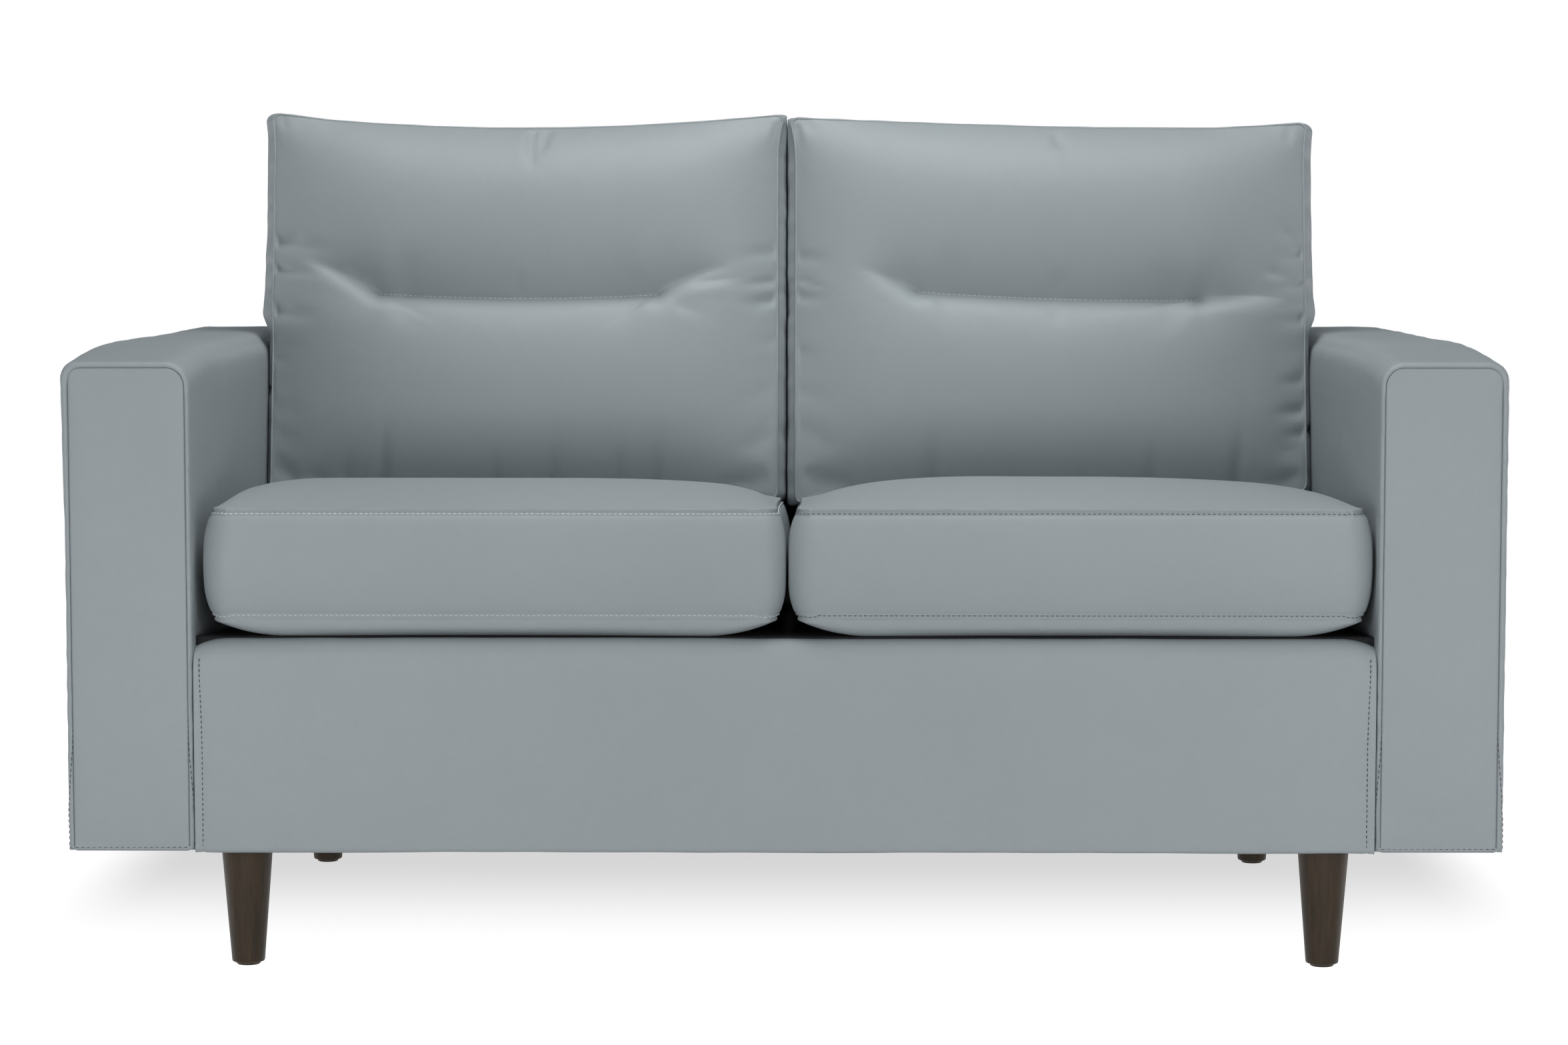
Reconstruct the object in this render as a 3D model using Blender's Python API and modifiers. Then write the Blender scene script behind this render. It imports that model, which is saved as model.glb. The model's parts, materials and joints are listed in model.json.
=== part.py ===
"""A two-seat sofa with box arms, loose cushions and tapered legs, as separate pieces.

Run it with: blender --background --python part.py

Lengths are metres. X runs across the sofa, Y from the front to the back and Z up.
The origin is on the floor in the middle of the footprint. A setback is a distance
behind the front plane of the arms.
"""

import math
from types import SimpleNamespace

import bmesh
import bpy
from mathutils import Matrix, Vector

# Overall sizes
overall_width = 1.520
overall_depth = 0.860
base_height = 0.135
arm_width = 0.134
arm_front_height = 0.653
back_height = 0.920

# Clearances
fit_gap = 0.0003
cut_overrun = 0.004
weld_distance = 0.00001
smooth_angle = math.radians(35.0)
facing_share = 0.9

# Covers and boards
cover_thickness = 0.004
board_thickness = 0.004
rail_thickness = 0.022

# Arms
arm_crown_rise = 0.0135
arm_crown_run = 0.290
arm_inner_radius = 0.021
arm_outer_radius = 0.030
arm_front_thickness = 0.008
arm_front_edge_radius = 0.002
arm_pad_thickness = 0.034
arm_crown_station_shares = (0.25, 0.5, 1.0)
arm_corner_steps = 3

# Base front
base_front_height = 0.360
base_front_setback = 0.002
base_front_radius = 0.020
base_front_flat = 0.0023
base_pad_thickness = 0.008
base_roll_steps = 5

# Seat frame
front_rail_thickness = 0.0254
seat_frame_rear_inset = 0.0946
side_rail_height = 0.163
centre_rail_height = 0.113
dust_cover_thickness = 0.0015
dust_cover_inset = 0.003

# Legs, the boards that carry them, and bolts
leg_top_diameter = 0.056
leg_foot_diameter = 0.035
leg_foot_rim = 0.003
leg_side_inset = 0.046
leg_frame_setback = 0.0504
leg_steps = 24
leg_board_width = 0.100
leg_board_thickness = 0.030
bolt_diameter = 0.008
bolt_head_diameter = 0.017
bolt_head_thickness = 0.005
bolt_steps = 12
leg_bolt_reach = 0.040
arm_bolt_height = 0.220
arm_bolt_front_setback = 0.160
arm_bolt_rear_inset = 0.1654
arm_bolt_reach = 0.018

# Seat deck
deck_rake = math.radians(3.0)
deck_front_height = 0.3620
deck_cloth_thickness = 0.0015
insulator_thickness = 0.010
spring_wire_diameter = 0.0036
springs_per_seat = 4
spring_wave_width = 0.044
spring_wave_count = 12
spring_lead = 0.030
spring_rail_overlap = 0.0130
clip_bar_cover = 0.0015
clip_bar_depth = 0.009
clip_bar_overhang = 0.012

# Back frame
back_rake = math.radians(11.0)
back_frame_depth = 0.185
back_face_level = 0.350
back_cover_thickness = 0.003
back_pad_thickness = 0.015
back_top_pad_thickness = 0.008
back_top_radius = 0.012
back_roll_steps = 4
webbing_thickness = 0.0015
webbing_width = 0.050
webbing_rows = 5
webbing_columns = 10
bottom_rail_height = 0.060

# Cushions in common
outer_share = 0.99999
swell_rise_share = 4.0
foam_inset = 0.010
zip_tape_height = 0.009
zip_tape_depth = 0.005
zip_slider_length = 0.012
zip_slider_lift = 0.0012
zip_recess = 0.0025
core_cage_shares = (-1.0, -0.6, 0.0, 0.6, 1.0)
# A single raised row of a cage keeps two thirds of its height when it is smoothed
smoothing_gain_share = 1.5

# Seat cushions
seat_side_clearance = 0.00525
seat_rear_clearance = 0.018
seat_cushion_setback = 0.002
seat_pair_gap = 0.0015
seat_cushion_shift = 0.0033
seat_boxing = 0.1175
seat_swell = 0.018
seat_crown = 0.029
seat_crest_setback = 0.300
seat_corner_radius = 0.024
seat_bulge = 0.008
seat_draw_in = 0.004
seat_zip_end_inset = 0.080
seat_across_shares = (-0.6, -0.3, 0.0, 0.3, 0.6)
seat_front_shares = (-0.55,)
seat_rear_shares = (0.25, 0.6)
seat_boxing_shares = (-1.0, 0.0, 1.0)

# Back cushions
back_side_clearance = 0.00125
back_pair_gap = 0.0015
back_cushion_shift = 0.0005
back_left_height = 0.4650
back_right_height = 0.4586
back_boxing = 0.142
back_swell = 0.016
back_crown = 0.024
back_corner_radius = 0.014
back_bulge = 0.0025
back_draw_in = 0.006
back_top_dip = 0.014
back_zip_end_inset = 0.112
back_across_shares = (-0.7, -0.52, -0.18, 0.18, 0.52, 0.7)
back_low_shares = (-0.5,)
back_high_shares = (0.55,)
back_boxing_shares = (-1.0, 0.3, 1.0)
channel_height = 0.238
channel_end_inset = 0.143
channel_depth = 0.026
channel_width = 0.020
channel_run_out = 0.050
channel_row_share = 0.14
right_channel_offset = 0.0137

# Worked out from the sizes above
front_y = -overall_depth / 2
inner_half = overall_width / 2 - arm_width
back_face_setback = overall_depth - back_frame_depth
seat_frame_rear_setback = overall_depth - seat_frame_rear_inset
seat_cushion_width = inner_half - seat_side_clearance - seat_pair_gap / 2
seat_cushion_depth = back_face_setback - seat_rear_clearance - seat_cushion_setback
seat_zip_length = seat_cushion_width - 2 * seat_zip_end_inset
back_cushion_width = inner_half - back_side_clearance - back_pair_gap / 2
back_zip_length = back_cushion_width - 2 * back_zip_end_inset
channel_length = back_cushion_width - 2 * channel_end_inset
base_half = inner_half - fit_gap
frame_bottom = base_height + dust_cover_thickness + fit_gap
arm_body_setback = arm_front_thickness + fit_gap
arm_frame_top = arm_front_height - cover_thickness - fit_gap - arm_pad_thickness
back_board_setback = overall_depth - cover_thickness - fit_gap
front_rail_setback = base_front_setback + cover_thickness + base_pad_thickness + 2 * fit_gap
front_rail_rear = front_rail_setback + front_rail_thickness
rear_rail_setback = seat_frame_rear_setback - rail_thickness
deck_start_setback = base_front_setback + base_front_radius + base_front_flat + fit_gap
side_rail_inner = base_half - rail_thickness
spring_drop = deck_cloth_thickness + insulator_thickness + clip_bar_cover + 2 * fit_gap
leg_x = inner_half - leg_side_inset
leg_setbacks = (front_rail_setback + leg_frame_setback, seat_frame_rear_setback - leg_frame_setback)
leg_top = base_height - fit_gap
leg_board_top = frame_bottom + leg_board_thickness
bolt_radius = bolt_diameter / 2
arm_bolt_rear_setback = seat_frame_rear_setback - arm_bolt_rear_inset
arm_bolt_setbacks = (("front", arm_bolt_front_setback), ("rear", arm_bolt_rear_setback))

sofa = bpy.data.collections.new("two_seat_sofa")
cutters = bpy.data.collections.new("cutters")


def deck(setback):
    """Height of the deck's upper face, which falls towards the back."""
    return deck_front_height - math.tan(deck_rake) * setback


def back_face(height, depth=0.0):
    """Setback of the raked face of the back at a height, or of a layer that deep behind it."""
    lean = math.tan(back_rake) * (height - back_face_level)
    return back_face_setback + lean + depth / math.cos(back_rake)


def arm_top(setback):
    """Height of the arm's top, which climbs from the front and then runs level."""
    share = min(1.0, setback / arm_crown_run)
    return arm_front_height + arm_crown_rise * (1 - (1 - share) ** 2)


def clear_scene():
    for obj in list(bpy.data.objects):
        bpy.data.objects.remove(obj, do_unlink=True)
    for collection in (sofa, cutters):
        bpy.context.scene.collection.children.link(collection)


def make_material(name, colour, roughness, metallic=0.0):
    material = bpy.data.materials.new(name)
    material.use_nodes = True
    shader = material.node_tree.nodes["Principled BSDF"]
    shader.inputs["Base Color"].default_value = (*colour, 1.0)
    shader.inputs["Roughness"].default_value = roughness
    shader.inputs["Metallic"].default_value = metallic
    return material


def make_materials():
    return SimpleNamespace(
        leather=make_material("grey_blue_faux_leather", (0.315, 0.352, 0.368), 0.50),
        lining=make_material("black_deck_cloth", (0.012, 0.012, 0.014), 0.90),
        foam=make_material("cream_foam", (0.78, 0.72, 0.55), 0.95),
        felt=make_material("grey_felt", (0.22, 0.21, 0.20), 0.95),
        timber=make_material("frame_timber", (0.56, 0.40, 0.24), 0.70),
        espresso=make_material("espresso_wood", (0.020, 0.012, 0.010), 0.35),
        steel=make_material("spring_steel", (0.45, 0.45, 0.46), 0.35, 1.0),
        webbing=make_material("elastic_webbing", (0.30, 0.26, 0.20), 0.90),
        plastic=make_material("black_plastic", (0.02, 0.02, 0.02), 0.45),
    )


def add_object(name, mesh, material, location=(0, 0, 0), parent=None):
    obj = bpy.data.objects.new(name, mesh)
    sofa.objects.link(obj)
    mesh.materials.clear()
    mesh.materials.append(material)
    obj.location = location
    obj.parent = parent
    return obj


def mesh_of(name, bm):
    """The finished mesh of a bmesh, its faces pointing outwards."""
    bmesh.ops.recalc_face_normals(bm, faces=bm.faces)
    mesh = bpy.data.meshes.new(name)
    bm.to_mesh(mesh)
    bm.free()
    return mesh


def add_block(bm, across, setbacks, heights):
    """Add a box to a bmesh, given its two X, its two setbacks and its two heights."""
    low = Vector((min(across), front_y + setbacks[0], heights[0]))
    high = Vector((max(across), front_y + setbacks[1], heights[1]))
    place = Matrix.Translation((low + high) / 2) @ Matrix.Diagonal((*(high - low), 1))
    bmesh.ops.create_cube(bm, size=1, matrix=place)


def board(name, material, across, setbacks, heights):
    """A plain board or sheet, given as its two X, its two setbacks and its two heights."""
    bm = bmesh.new()
    add_block(bm, across, setbacks, heights)
    return add_object(name, mesh_of(name, bm), material)


def prism(name, material, outline, across):
    """A side outline of setbacks and heights, drawn out across the sofa."""
    bm = bmesh.new()
    verts = [bm.verts.new((across[0], front_y + setback, z)) for setback, z in outline]
    face = bm.faces.new(verts)
    moved = bmesh.ops.extrude_face_region(bm, geom=[face])["geom"]
    shift = Vector((across[1] - across[0], 0, 0))
    bmesh.ops.translate(bm, vec=shift, verts=[v for v in moved if isinstance(v, bmesh.types.BMVert)])
    return add_object(name, mesh_of(name, bm), material)


def arc(centre, radius, start, stop, steps):
    """Points of an arc round a centre, the angles in degrees."""
    angles = [math.radians(start + (stop - start) * i / steps) for i in range(steps + 1)]
    return [(centre[0] + radius * math.cos(a), centre[1] + radius * math.sin(a)) for a in angles]


def shell(obj, thickness):
    """Give an open surface its wall, inwards."""
    wall = obj.modifiers.new("Wall", "SOLIDIFY")
    wall.thickness = thickness
    wall.offset = -1
    wall.use_even_offset = True
    return obj


def cutter(name, mesh, location=(0, 0, 0), parent=None):
    obj = bpy.data.objects.new(name, mesh)
    cutters.objects.link(obj)
    obj.location = location
    obj.parent = parent
    obj.hide_render = True
    obj.display_type = "WIRE"
    return obj


def cut(obj, tool, operation="DIFFERENCE"):
    change = obj.modifiers.new(tool.name, "BOOLEAN")
    change.operation = operation
    change.object = tool


def turned_mesh(name, profile, steps):
    """The mesh of a profile of radii and heights turned about the vertical axis."""
    outline = bpy.data.meshes.new(name + "_profile")
    edges = [(i, i + 1) for i in range(len(profile) - 1)]
    outline.from_pydata([(r, 0, z) for r, z in profile], edges, [])
    blank = bpy.data.objects.new(name + "_blank", outline)
    bpy.context.scene.collection.objects.link(blank)
    turn = blank.modifiers.new("Turn", "SCREW")
    turn.steps = steps
    turn.render_steps = steps
    turn.use_merge_vertices = True
    turn.merge_threshold = weld_distance
    bpy.context.view_layer.update()
    evaluated = blank.evaluated_get(bpy.context.evaluated_depsgraph_get())
    mesh = bpy.data.meshes.new_from_object(evaluated)
    mesh.name = name
    bpy.data.objects.remove(blank, do_unlink=True)
    mesh.shade_smooth()
    mesh.set_sharp_from_angle(angle=smooth_angle)
    return mesh


def cylinders(name, rods):
    """A cutter of separate rods, each given as its middle, length and direction."""
    bm = bmesh.new()
    for middle, length, direction in rods:
        turn = Vector((0, 0, 1)).rotation_difference(Vector(direction)).to_matrix().to_4x4()
        radius = bolt_radius + fit_gap
        place = Matrix.Translation(middle) @ turn
        bmesh.ops.create_cone(
            bm,
            cap_ends=True,
            segments=bolt_steps,
            radius1=radius,
            radius2=radius,
            depth=length,
            matrix=place,
        )
    return cutter(name, mesh_of(name, bm))


def leg_spots():
    """Name, X and Y of each leg."""
    for row, setback in zip(("front", "rear"), leg_setbacks):
        for side_name, side in (("left", -1), ("right", 1)):
            yield f"{row}_leg_{side_name}", side * leg_x, front_y + setback


def leg_bolt_holes():
    bottom = leg_top - leg_bolt_reach - fit_gap
    top = leg_board_top + cut_overrun
    spots = [((x, y, (bottom + top) / 2), top - bottom, (0, 0, 1)) for _, x, y in leg_spots()]
    return cylinders("leg_bolt_holes", spots)


def make_legs(materials, holes):
    top_radius = leg_top_diameter / 2
    foot_radius = leg_foot_diameter / 2
    profile = [
        (0, leg_top),
        (top_radius, leg_top),
        (foot_radius, leg_foot_rim),
        (foot_radius - leg_foot_rim, 0),
        (0, 0),
    ]
    for name, x, y in leg_spots():
        mesh = turned_mesh(name, profile, leg_steps)
        cut(add_object(name, mesh, materials.espresso, (x, y, 0)), holes)


def make_leg_bolts(materials):
    """A bolt down through each leg board and the dust cover into its leg."""
    seat = leg_board_top + fit_gap
    bolt = bolt_mesh("leg_bolt", seat - (leg_top - leg_bolt_reach))
    for name, x, y in leg_spots():
        add_object(name.replace("leg", "leg_bolt"), bolt, materials.steel, (x, y, seat))


def bolt_mesh(name, shank):
    """A pan-head bolt whose head sits on zero and whose shank points down."""
    head = bolt_head_diameter / 2
    profile = [
        (0, bolt_head_thickness),
        (head, bolt_head_thickness),
        (head, 0),
        (bolt_radius, 0),
        (bolt_radius, -shank),
        (0, -shank),
    ]
    return turned_mesh(name, profile, bolt_steps)


def arm_bolt_holes():
    inside = side_rail_inner - cut_overrun
    outside = inner_half + cover_thickness + board_thickness + cut_overrun
    rods = []
    for side in (-1, 1):
        for _, setback in arm_bolt_setbacks:
            middle = (side * (inside + outside) / 2, front_y + setback, arm_bolt_height)
            rods.append((middle, outside - inside, (1, 0, 0)))
    return cylinders("arm_bolt_holes", rods)


def make_arm_bolts(materials):
    """Bolts from inside the seat frame through the side rails into the arms."""
    seat = side_rail_inner - fit_gap
    board_face = inner_half + cover_thickness + fit_gap + board_thickness
    bolt = bolt_mesh("arm_bolt", board_face + arm_bolt_reach - seat)
    for name, side in (("left", -1), ("right", 1)):
        for row, setback in arm_bolt_setbacks:
            place = (side * seat, front_y + setback, arm_bolt_height)
            obj = add_object(f"arm_bolt_{name}_{row}", bolt, materials.steel, place)
            obj.rotation_euler.y = -side * math.pi / 2


def make_seat_frame(materials, leg_holes, arm_holes):
    front_top = deck(front_rail_rear) - spring_drop - spring_wire_diameter - fit_gap
    rear_top = deck(seat_frame_rear_setback) - spring_drop - spring_wire_diameter - fit_gap
    width = (-base_half, base_half)
    front = (front_rail_setback, front_rail_rear)
    rear = (rear_rail_setback, seat_frame_rear_setback)
    between = (front_rail_rear + fit_gap, rear_rail_setback - fit_gap)
    board("front_rail", materials.timber, width, front, (frame_bottom, front_top))
    board("rear_rail", materials.timber, width, rear, (frame_bottom, rear_top))
    for name, side in (("left", -1), ("right", 1)):
        across = (side * side_rail_inner, side * base_half)
        heights = (frame_bottom, frame_bottom + side_rail_height)
        cut(board(f"side_rail_{name}", materials.timber, across, between, heights), arm_holes)
        outer = side_rail_inner - fit_gap
        across = (side * outer, side * (outer - leg_board_width))
        heights = (frame_bottom, leg_board_top)
        cut(board(f"leg_board_{name}", materials.timber, across, between, heights), leg_holes)
    middle = (-rail_thickness / 2, rail_thickness / 2)
    heights = (frame_bottom, frame_bottom + centre_rail_height)
    board("centre_rail", materials.timber, middle, between, heights)
    half = overall_width / 2 - dust_cover_inset
    setbacks = (dust_cover_inset, overall_depth - dust_cover_inset)
    heights = (base_height, base_height + dust_cover_thickness)
    cut(board("dust_cover", materials.lining, (-half, half), setbacks, heights), leg_holes)


def make_base_front(materials):
    """The front panel: a cover with a rolled top edge over a foam pad on the front rail."""
    pad_setback = base_front_setback + cover_thickness + fit_gap
    pad_top = base_front_height - cover_thickness - fit_gap
    rail_top = deck(front_rail_rear) - spring_drop - spring_wire_diameter
    end = deck_start_setback - fit_gap
    roll_centre = (base_front_setback + base_front_radius, base_front_height - base_front_radius)
    roll = arc(roll_centre, base_front_radius, 180, 90, base_roll_steps)
    path = [(base_front_setback, frame_bottom), *roll, (end, base_front_height)]
    bm = bmesh.new()
    verts = [bm.verts.new((-base_half, front_y + setback, z)) for setback, z in path]
    edges = [bm.edges.new(pair) for pair in zip(verts, verts[1:])]
    moved = bmesh.ops.extrude_edge_only(bm, edges=edges)["geom"]
    shift = Vector((2 * base_half, 0, 0))
    bmesh.ops.translate(bm, vec=shift, verts=[v for v in moved if isinstance(v, bmesh.types.BMVert)])
    for face in bm.faces:
        face.normal_update()
        if face.normal.y > 0 or face.normal.z < 0:
            face.normal_flip()
    mesh = bpy.data.meshes.new("base_front_cover")
    bm.to_mesh(mesh)
    bm.free()
    shell(add_object("base_front_cover", mesh, materials.leather), cover_thickness)
    pad_roll = arc(roll_centre, base_front_radius - cover_thickness - fit_gap, 180, 90, base_roll_steps)
    inner = pad_setback + base_pad_thickness
    outline = [
        (pad_setback, frame_bottom),
        *pad_roll,
        (end, pad_top),
        (end, rail_top),
        (inner, rail_top),
        (inner, frame_bottom),
    ]
    prism("base_front_pad", materials.foam, outline, (-base_half, base_half))


def spring_mesh():
    """One sinuous spring along +Y: a lead at each end and square waves between."""
    start = front_rail_rear - spring_rail_overlap
    stop = rear_rail_setback + spring_rail_overlap
    length = (stop - start) / math.cos(deck_rake)
    pitch = (length - 2 * spring_lead) / spring_wave_count
    points = [(0, 0, 0), (0, spring_lead - pitch / 4, 0)]
    for wave in range(spring_wave_count):
        x = spring_wave_width / 2 * (-1) ** wave
        near = spring_lead + pitch * wave
        points += [(x, near + pitch / 4, 0), (x, near + pitch * 3 / 4, 0)]
    points += [(0, length - spring_lead + pitch / 4, 0), (0, length, 0)]
    curve = bpy.data.curves.new("spring", "CURVE")
    curve.dimensions = "3D"
    curve.bevel_depth = spring_wire_diameter / 2
    curve.bevel_resolution = 0
    curve.use_fill_caps = True
    path = curve.splines.new("POLY")
    path.points.add(len(points) - 1)
    for point, place in zip(path.points, points):
        point.co = (*place, 1)
    blank = bpy.data.objects.new("spring_blank", curve)
    bpy.context.scene.collection.objects.link(blank)
    bpy.context.view_layer.update()
    mesh = bpy.data.meshes.new_from_object(blank.evaluated_get(bpy.context.evaluated_depsgraph_get()))
    bpy.data.objects.remove(blank, do_unlink=True)
    bm = bmesh.new()
    bm.from_mesh(mesh)
    bmesh.ops.remove_doubles(bm, verts=bm.verts, dist=weld_distance)
    bm.to_mesh(mesh)
    bm.free()
    return mesh, start, stop


def make_springs(materials):
    """The springs side by side, their ends held in a clip bar on the front and the rear rail."""
    spring, start, stop = spring_mesh()
    slope = Matrix.Rotation(-deck_rake, 4, "X")
    middle = spring_drop + spring_wire_diameter / 2
    count = 2 * springs_per_seat
    spacing = 2 * base_half / count
    bm = bmesh.new()
    for i in range(count):
        x = (i - (count - 1) / 2) * spacing
        copy = spring.copy()
        copy.transform(Matrix.Translation((x, front_y + start, deck(start) - middle)) @ slope)
        bm.from_mesh(copy)
        bpy.data.meshes.remove(copy)
    springs = add_object("seat_spring_set", mesh_of("seat_spring_set", bm), materials.steel)
    bars = bmesh.new()
    half = spacing * (count - 1) / 2 + clip_bar_overhang
    height = spring_wire_diameter + clip_bar_cover
    for setback in (start + clip_bar_depth / 2, stop - clip_bar_depth / 2):
        level = deck(setback) - spring_drop + clip_bar_cover - height / 2
        place = Matrix.Translation((0, front_y + setback, level))
        size = Matrix.Diagonal((2 * half, clip_bar_depth, height, 1))
        bmesh.ops.create_cube(bars, size=1, matrix=place @ slope @ size)
    cut(springs, cutter("clip_bars", mesh_of("clip_bars", bars)), "UNION")


def make_deck(materials):
    """The insulator pad and the deck cloth, both as wide as the base and raked like the deck."""
    cloth_top = 0.0
    pad_top = deck_cloth_thickness + fit_gap
    layers = (
        ("seat_deck_cloth", materials.lining, cloth_top, deck_cloth_thickness),
        ("seat_insulator_pad", materials.felt, pad_top, insulator_thickness),
    )
    near = deck_start_setback
    far = seat_frame_rear_setback
    for name, material, drop, thickness in layers:
        outline = [
            (near, deck(near) - drop),
            (near, deck(near) - drop - thickness),
            (far, deck(far) - drop - thickness),
            (far, deck(far) - drop),
        ]
        prism(name, material, outline, (-base_half, base_half))


def arm_block(side, inset, front, rear, bottom):
    """The arm's rounded, crowned body, or the space that far inside it, as a bmesh."""
    inner = side * (inner_half + inset)
    outer = side * (overall_width / 2 - inset)
    bm = bmesh.new()
    add_block(bm, (inner, outer), (front, rear), (bottom, arm_front_height))
    for share in arm_crown_station_shares:
        station = front_y + arm_crown_run * share
        if front_y + front < station < front_y + rear:
            geometry = bm.verts[:] + bm.edges[:] + bm.faces[:]
            bmesh.ops.bisect_plane(bm, geom=geometry, plane_co=(0, station, 0), plane_no=(0, 1, 0))
    for vert in bm.verts:
        if vert.co.z > (bottom + arm_front_height) / 2:
            vert.co.z = arm_top(vert.co.y - front_y) - inset
    middle = (inner + outer) / 2
    for edge_x, radius in ((inner, arm_inner_radius), (outer, arm_outer_radius)):
        edges = []
        for edge in bm.edges:
            a, b = (v.co for v in edge.verts)
            on_top = min(a.z, b.z) > (bottom + arm_front_height) / 2
            on_side = max(abs(a.x - edge_x), abs(b.x - edge_x)) < abs(middle - edge_x) / 2
            if on_top and on_side and abs(a.y - b.y) > fit_gap:
                edges.append(edge)
        bmesh.ops.bevel(
            bm, geom=edges, offset=radius - inset, segments=arm_corner_steps, profile=0.5, affect="EDGES"
        )
    return bm


def make_arm(name, side, materials, arm_holes):
    rear = overall_depth
    bm = arm_block(side, 0.0, arm_body_setback, rear, frame_bottom)
    bmesh.ops.recalc_face_normals(bm, faces=bm.faces)
    open_faces = [f for f in bm.faces if f.normal.y < -facing_share or f.normal.z < -facing_share]
    bmesh.ops.delete(bm, geom=open_faces, context="FACES")
    mesh = bpy.data.meshes.new(f"arm_cover_{name}")
    bm.to_mesh(mesh)
    bm.free()
    cover = shell(add_object(f"arm_cover_{name}", mesh, materials.leather), cover_thickness)
    cut(cover, arm_holes)

    bm = arm_block(side, 0.0, 0.0, arm_front_thickness, frame_bottom)
    bmesh.ops.recalc_face_normals(bm, faces=bm.faces)
    rim = [e for e in bm.edges if all(v.co.y < front_y + arm_front_thickness / 2 for v in e.verts)]
    bmesh.ops.bevel(bm, geom=rim, offset=arm_front_edge_radius, segments=1, profile=0.5, affect="EDGES")
    add_object(f"arm_front_cover_{name}", mesh_of(f"arm_front_cover_{name}", bm), materials.leather)

    inset = cover_thickness + fit_gap
    pad = arm_block(side, inset, arm_body_setback, back_board_setback, arm_frame_top + fit_gap)
    add_object(f"arm_top_pad_{name}", mesh_of(f"arm_top_pad_{name}", pad), materials.foam)

    inner = inner_half + cover_thickness + fit_gap
    outer = overall_width / 2 - cover_thickness - fit_gap
    heights = (frame_bottom, arm_frame_top)
    setbacks = (arm_body_setback, back_board_setback)
    across = (side * inner, side * (inner + board_thickness))
    cut(board(f"arm_inner_board_{name}", materials.timber, across, setbacks, heights), arm_holes)

    within = (side * (inner + board_thickness + fit_gap), side * outer)
    front_post = (setbacks[0], setbacks[0] + rail_thickness)
    rear_post = (setbacks[1] - rail_thickness, setbacks[1])
    board(f"arm_front_post_{name}", materials.timber, within, front_post, heights)
    board(f"arm_rear_post_{name}", materials.timber, within, rear_post, heights)
    between = (front_post[1] + fit_gap, rear_post[0] - fit_gap)
    top = (arm_frame_top - rail_thickness, arm_frame_top)
    board(f"arm_top_rail_{name}", materials.timber, within, between, top)


def make_back(materials):
    """The upholstered back between the arms, its face raked and its rear upright."""
    rear = back_board_setback
    deck_behind = deck(back_face(deck(back_face_setback)))
    cover_low = deck_behind + back_cover_thickness * math.sin(back_rake) + 2 * fit_gap
    pad_depth = back_cover_thickness + fit_gap
    web_depth = pad_depth + back_pad_thickness + fit_gap
    frame_depth = web_depth + webbing_thickness + fit_gap
    inner_end = base_half - back_cover_thickness - fit_gap
    pad_top = back_height - back_cover_thickness - fit_gap
    rail_top = pad_top - back_top_pad_thickness - fit_gap
    rail_low = rail_top - rail_thickness
    upright_top = rail_low - fit_gap

    bm = bmesh.new()
    add_block(bm, (-base_half, base_half), (back_face_setback, rear), (cover_low, back_height))
    for vert in bm.verts:
        if vert.co.y < front_y + rear - fit_gap:
            vert.co.y = front_y + back_face(vert.co.z)
    low_ends = (cover_low + back_height) / 2
    top_front = []
    for edge in bm.edges:
        if all(v.co.z > low_ends and v.co.y < front_y + rear - fit_gap for v in edge.verts):
            top_front.append(edge)
    bmesh.ops.bevel(
        bm, geom=top_front, offset=back_top_radius, segments=back_roll_steps, profile=0.5, affect="EDGES"
    )
    bmesh.ops.recalc_face_normals(bm, faces=bm.faces)
    open_faces = [f for f in bm.faces if f.normal.y > facing_share or f.normal.z < -facing_share]
    bmesh.ops.delete(bm, geom=open_faces, context="FACES")
    mesh = bpy.data.meshes.new("back_inner_cover")
    bm.to_mesh(mesh)
    bm.free()
    shell(add_object("back_inner_cover", mesh, materials.leather), back_cover_thickness)

    outer = (rear + fit_gap, overall_depth)
    width = (-base_half, base_half)
    board("back_outer_cover", materials.leather, width, outer, (frame_bottom, back_height))

    slope_cut = back_top_radius
    outline = [
        (back_face(cover_low, pad_depth), cover_low),
        (back_face(pad_top - slope_cut, pad_depth), pad_top - slope_cut),
        (back_face(pad_top, pad_depth) + slope_cut, pad_top),
        (rear, pad_top),
        (rear, pad_top - back_top_pad_thickness),
        (back_face(rail_top, web_depth - fit_gap), rail_top + fit_gap),
        (back_face(cover_low, web_depth - fit_gap), cover_low),
    ]
    prism("back_pad", materials.foam, outline, (-inner_end, inner_end))

    low = cover_low
    notch = (rear - rail_thickness - fit_gap, frame_bottom + bottom_rail_height + fit_gap)
    outline = [
        (seat_frame_rear_setback + fit_gap, frame_bottom),
        (notch[0], frame_bottom),
        notch,
        (rear, notch[1]),
        (rear, upright_top),
        (back_face(upright_top, frame_depth), upright_top),
        (back_face(low, frame_depth), low),
        (seat_frame_rear_setback + fit_gap, low),
    ]
    half = rail_thickness / 2
    places = (("left", -inner_end, -inner_end + rail_thickness), ("centre", -half, half))
    places += (("right", inner_end - rail_thickness, inner_end),)
    for name, x0, x1 in places:
        prism(f"back_upright_{name}", materials.timber, outline, (x0, x1))
    width = (-inner_end, inner_end)
    top_setbacks = (back_face(rail_top, frame_depth), rear)
    board("back_top_rail", materials.timber, width, top_setbacks, (rail_low, rail_top))
    bottom_setbacks = (rear - rail_thickness, rear)
    heights = (frame_bottom, frame_bottom + bottom_rail_height)
    board("back_bottom_rail", materials.timber, width, bottom_setbacks, heights)
    make_webbing(materials, low, upright_top, web_depth, inner_end)


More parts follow.
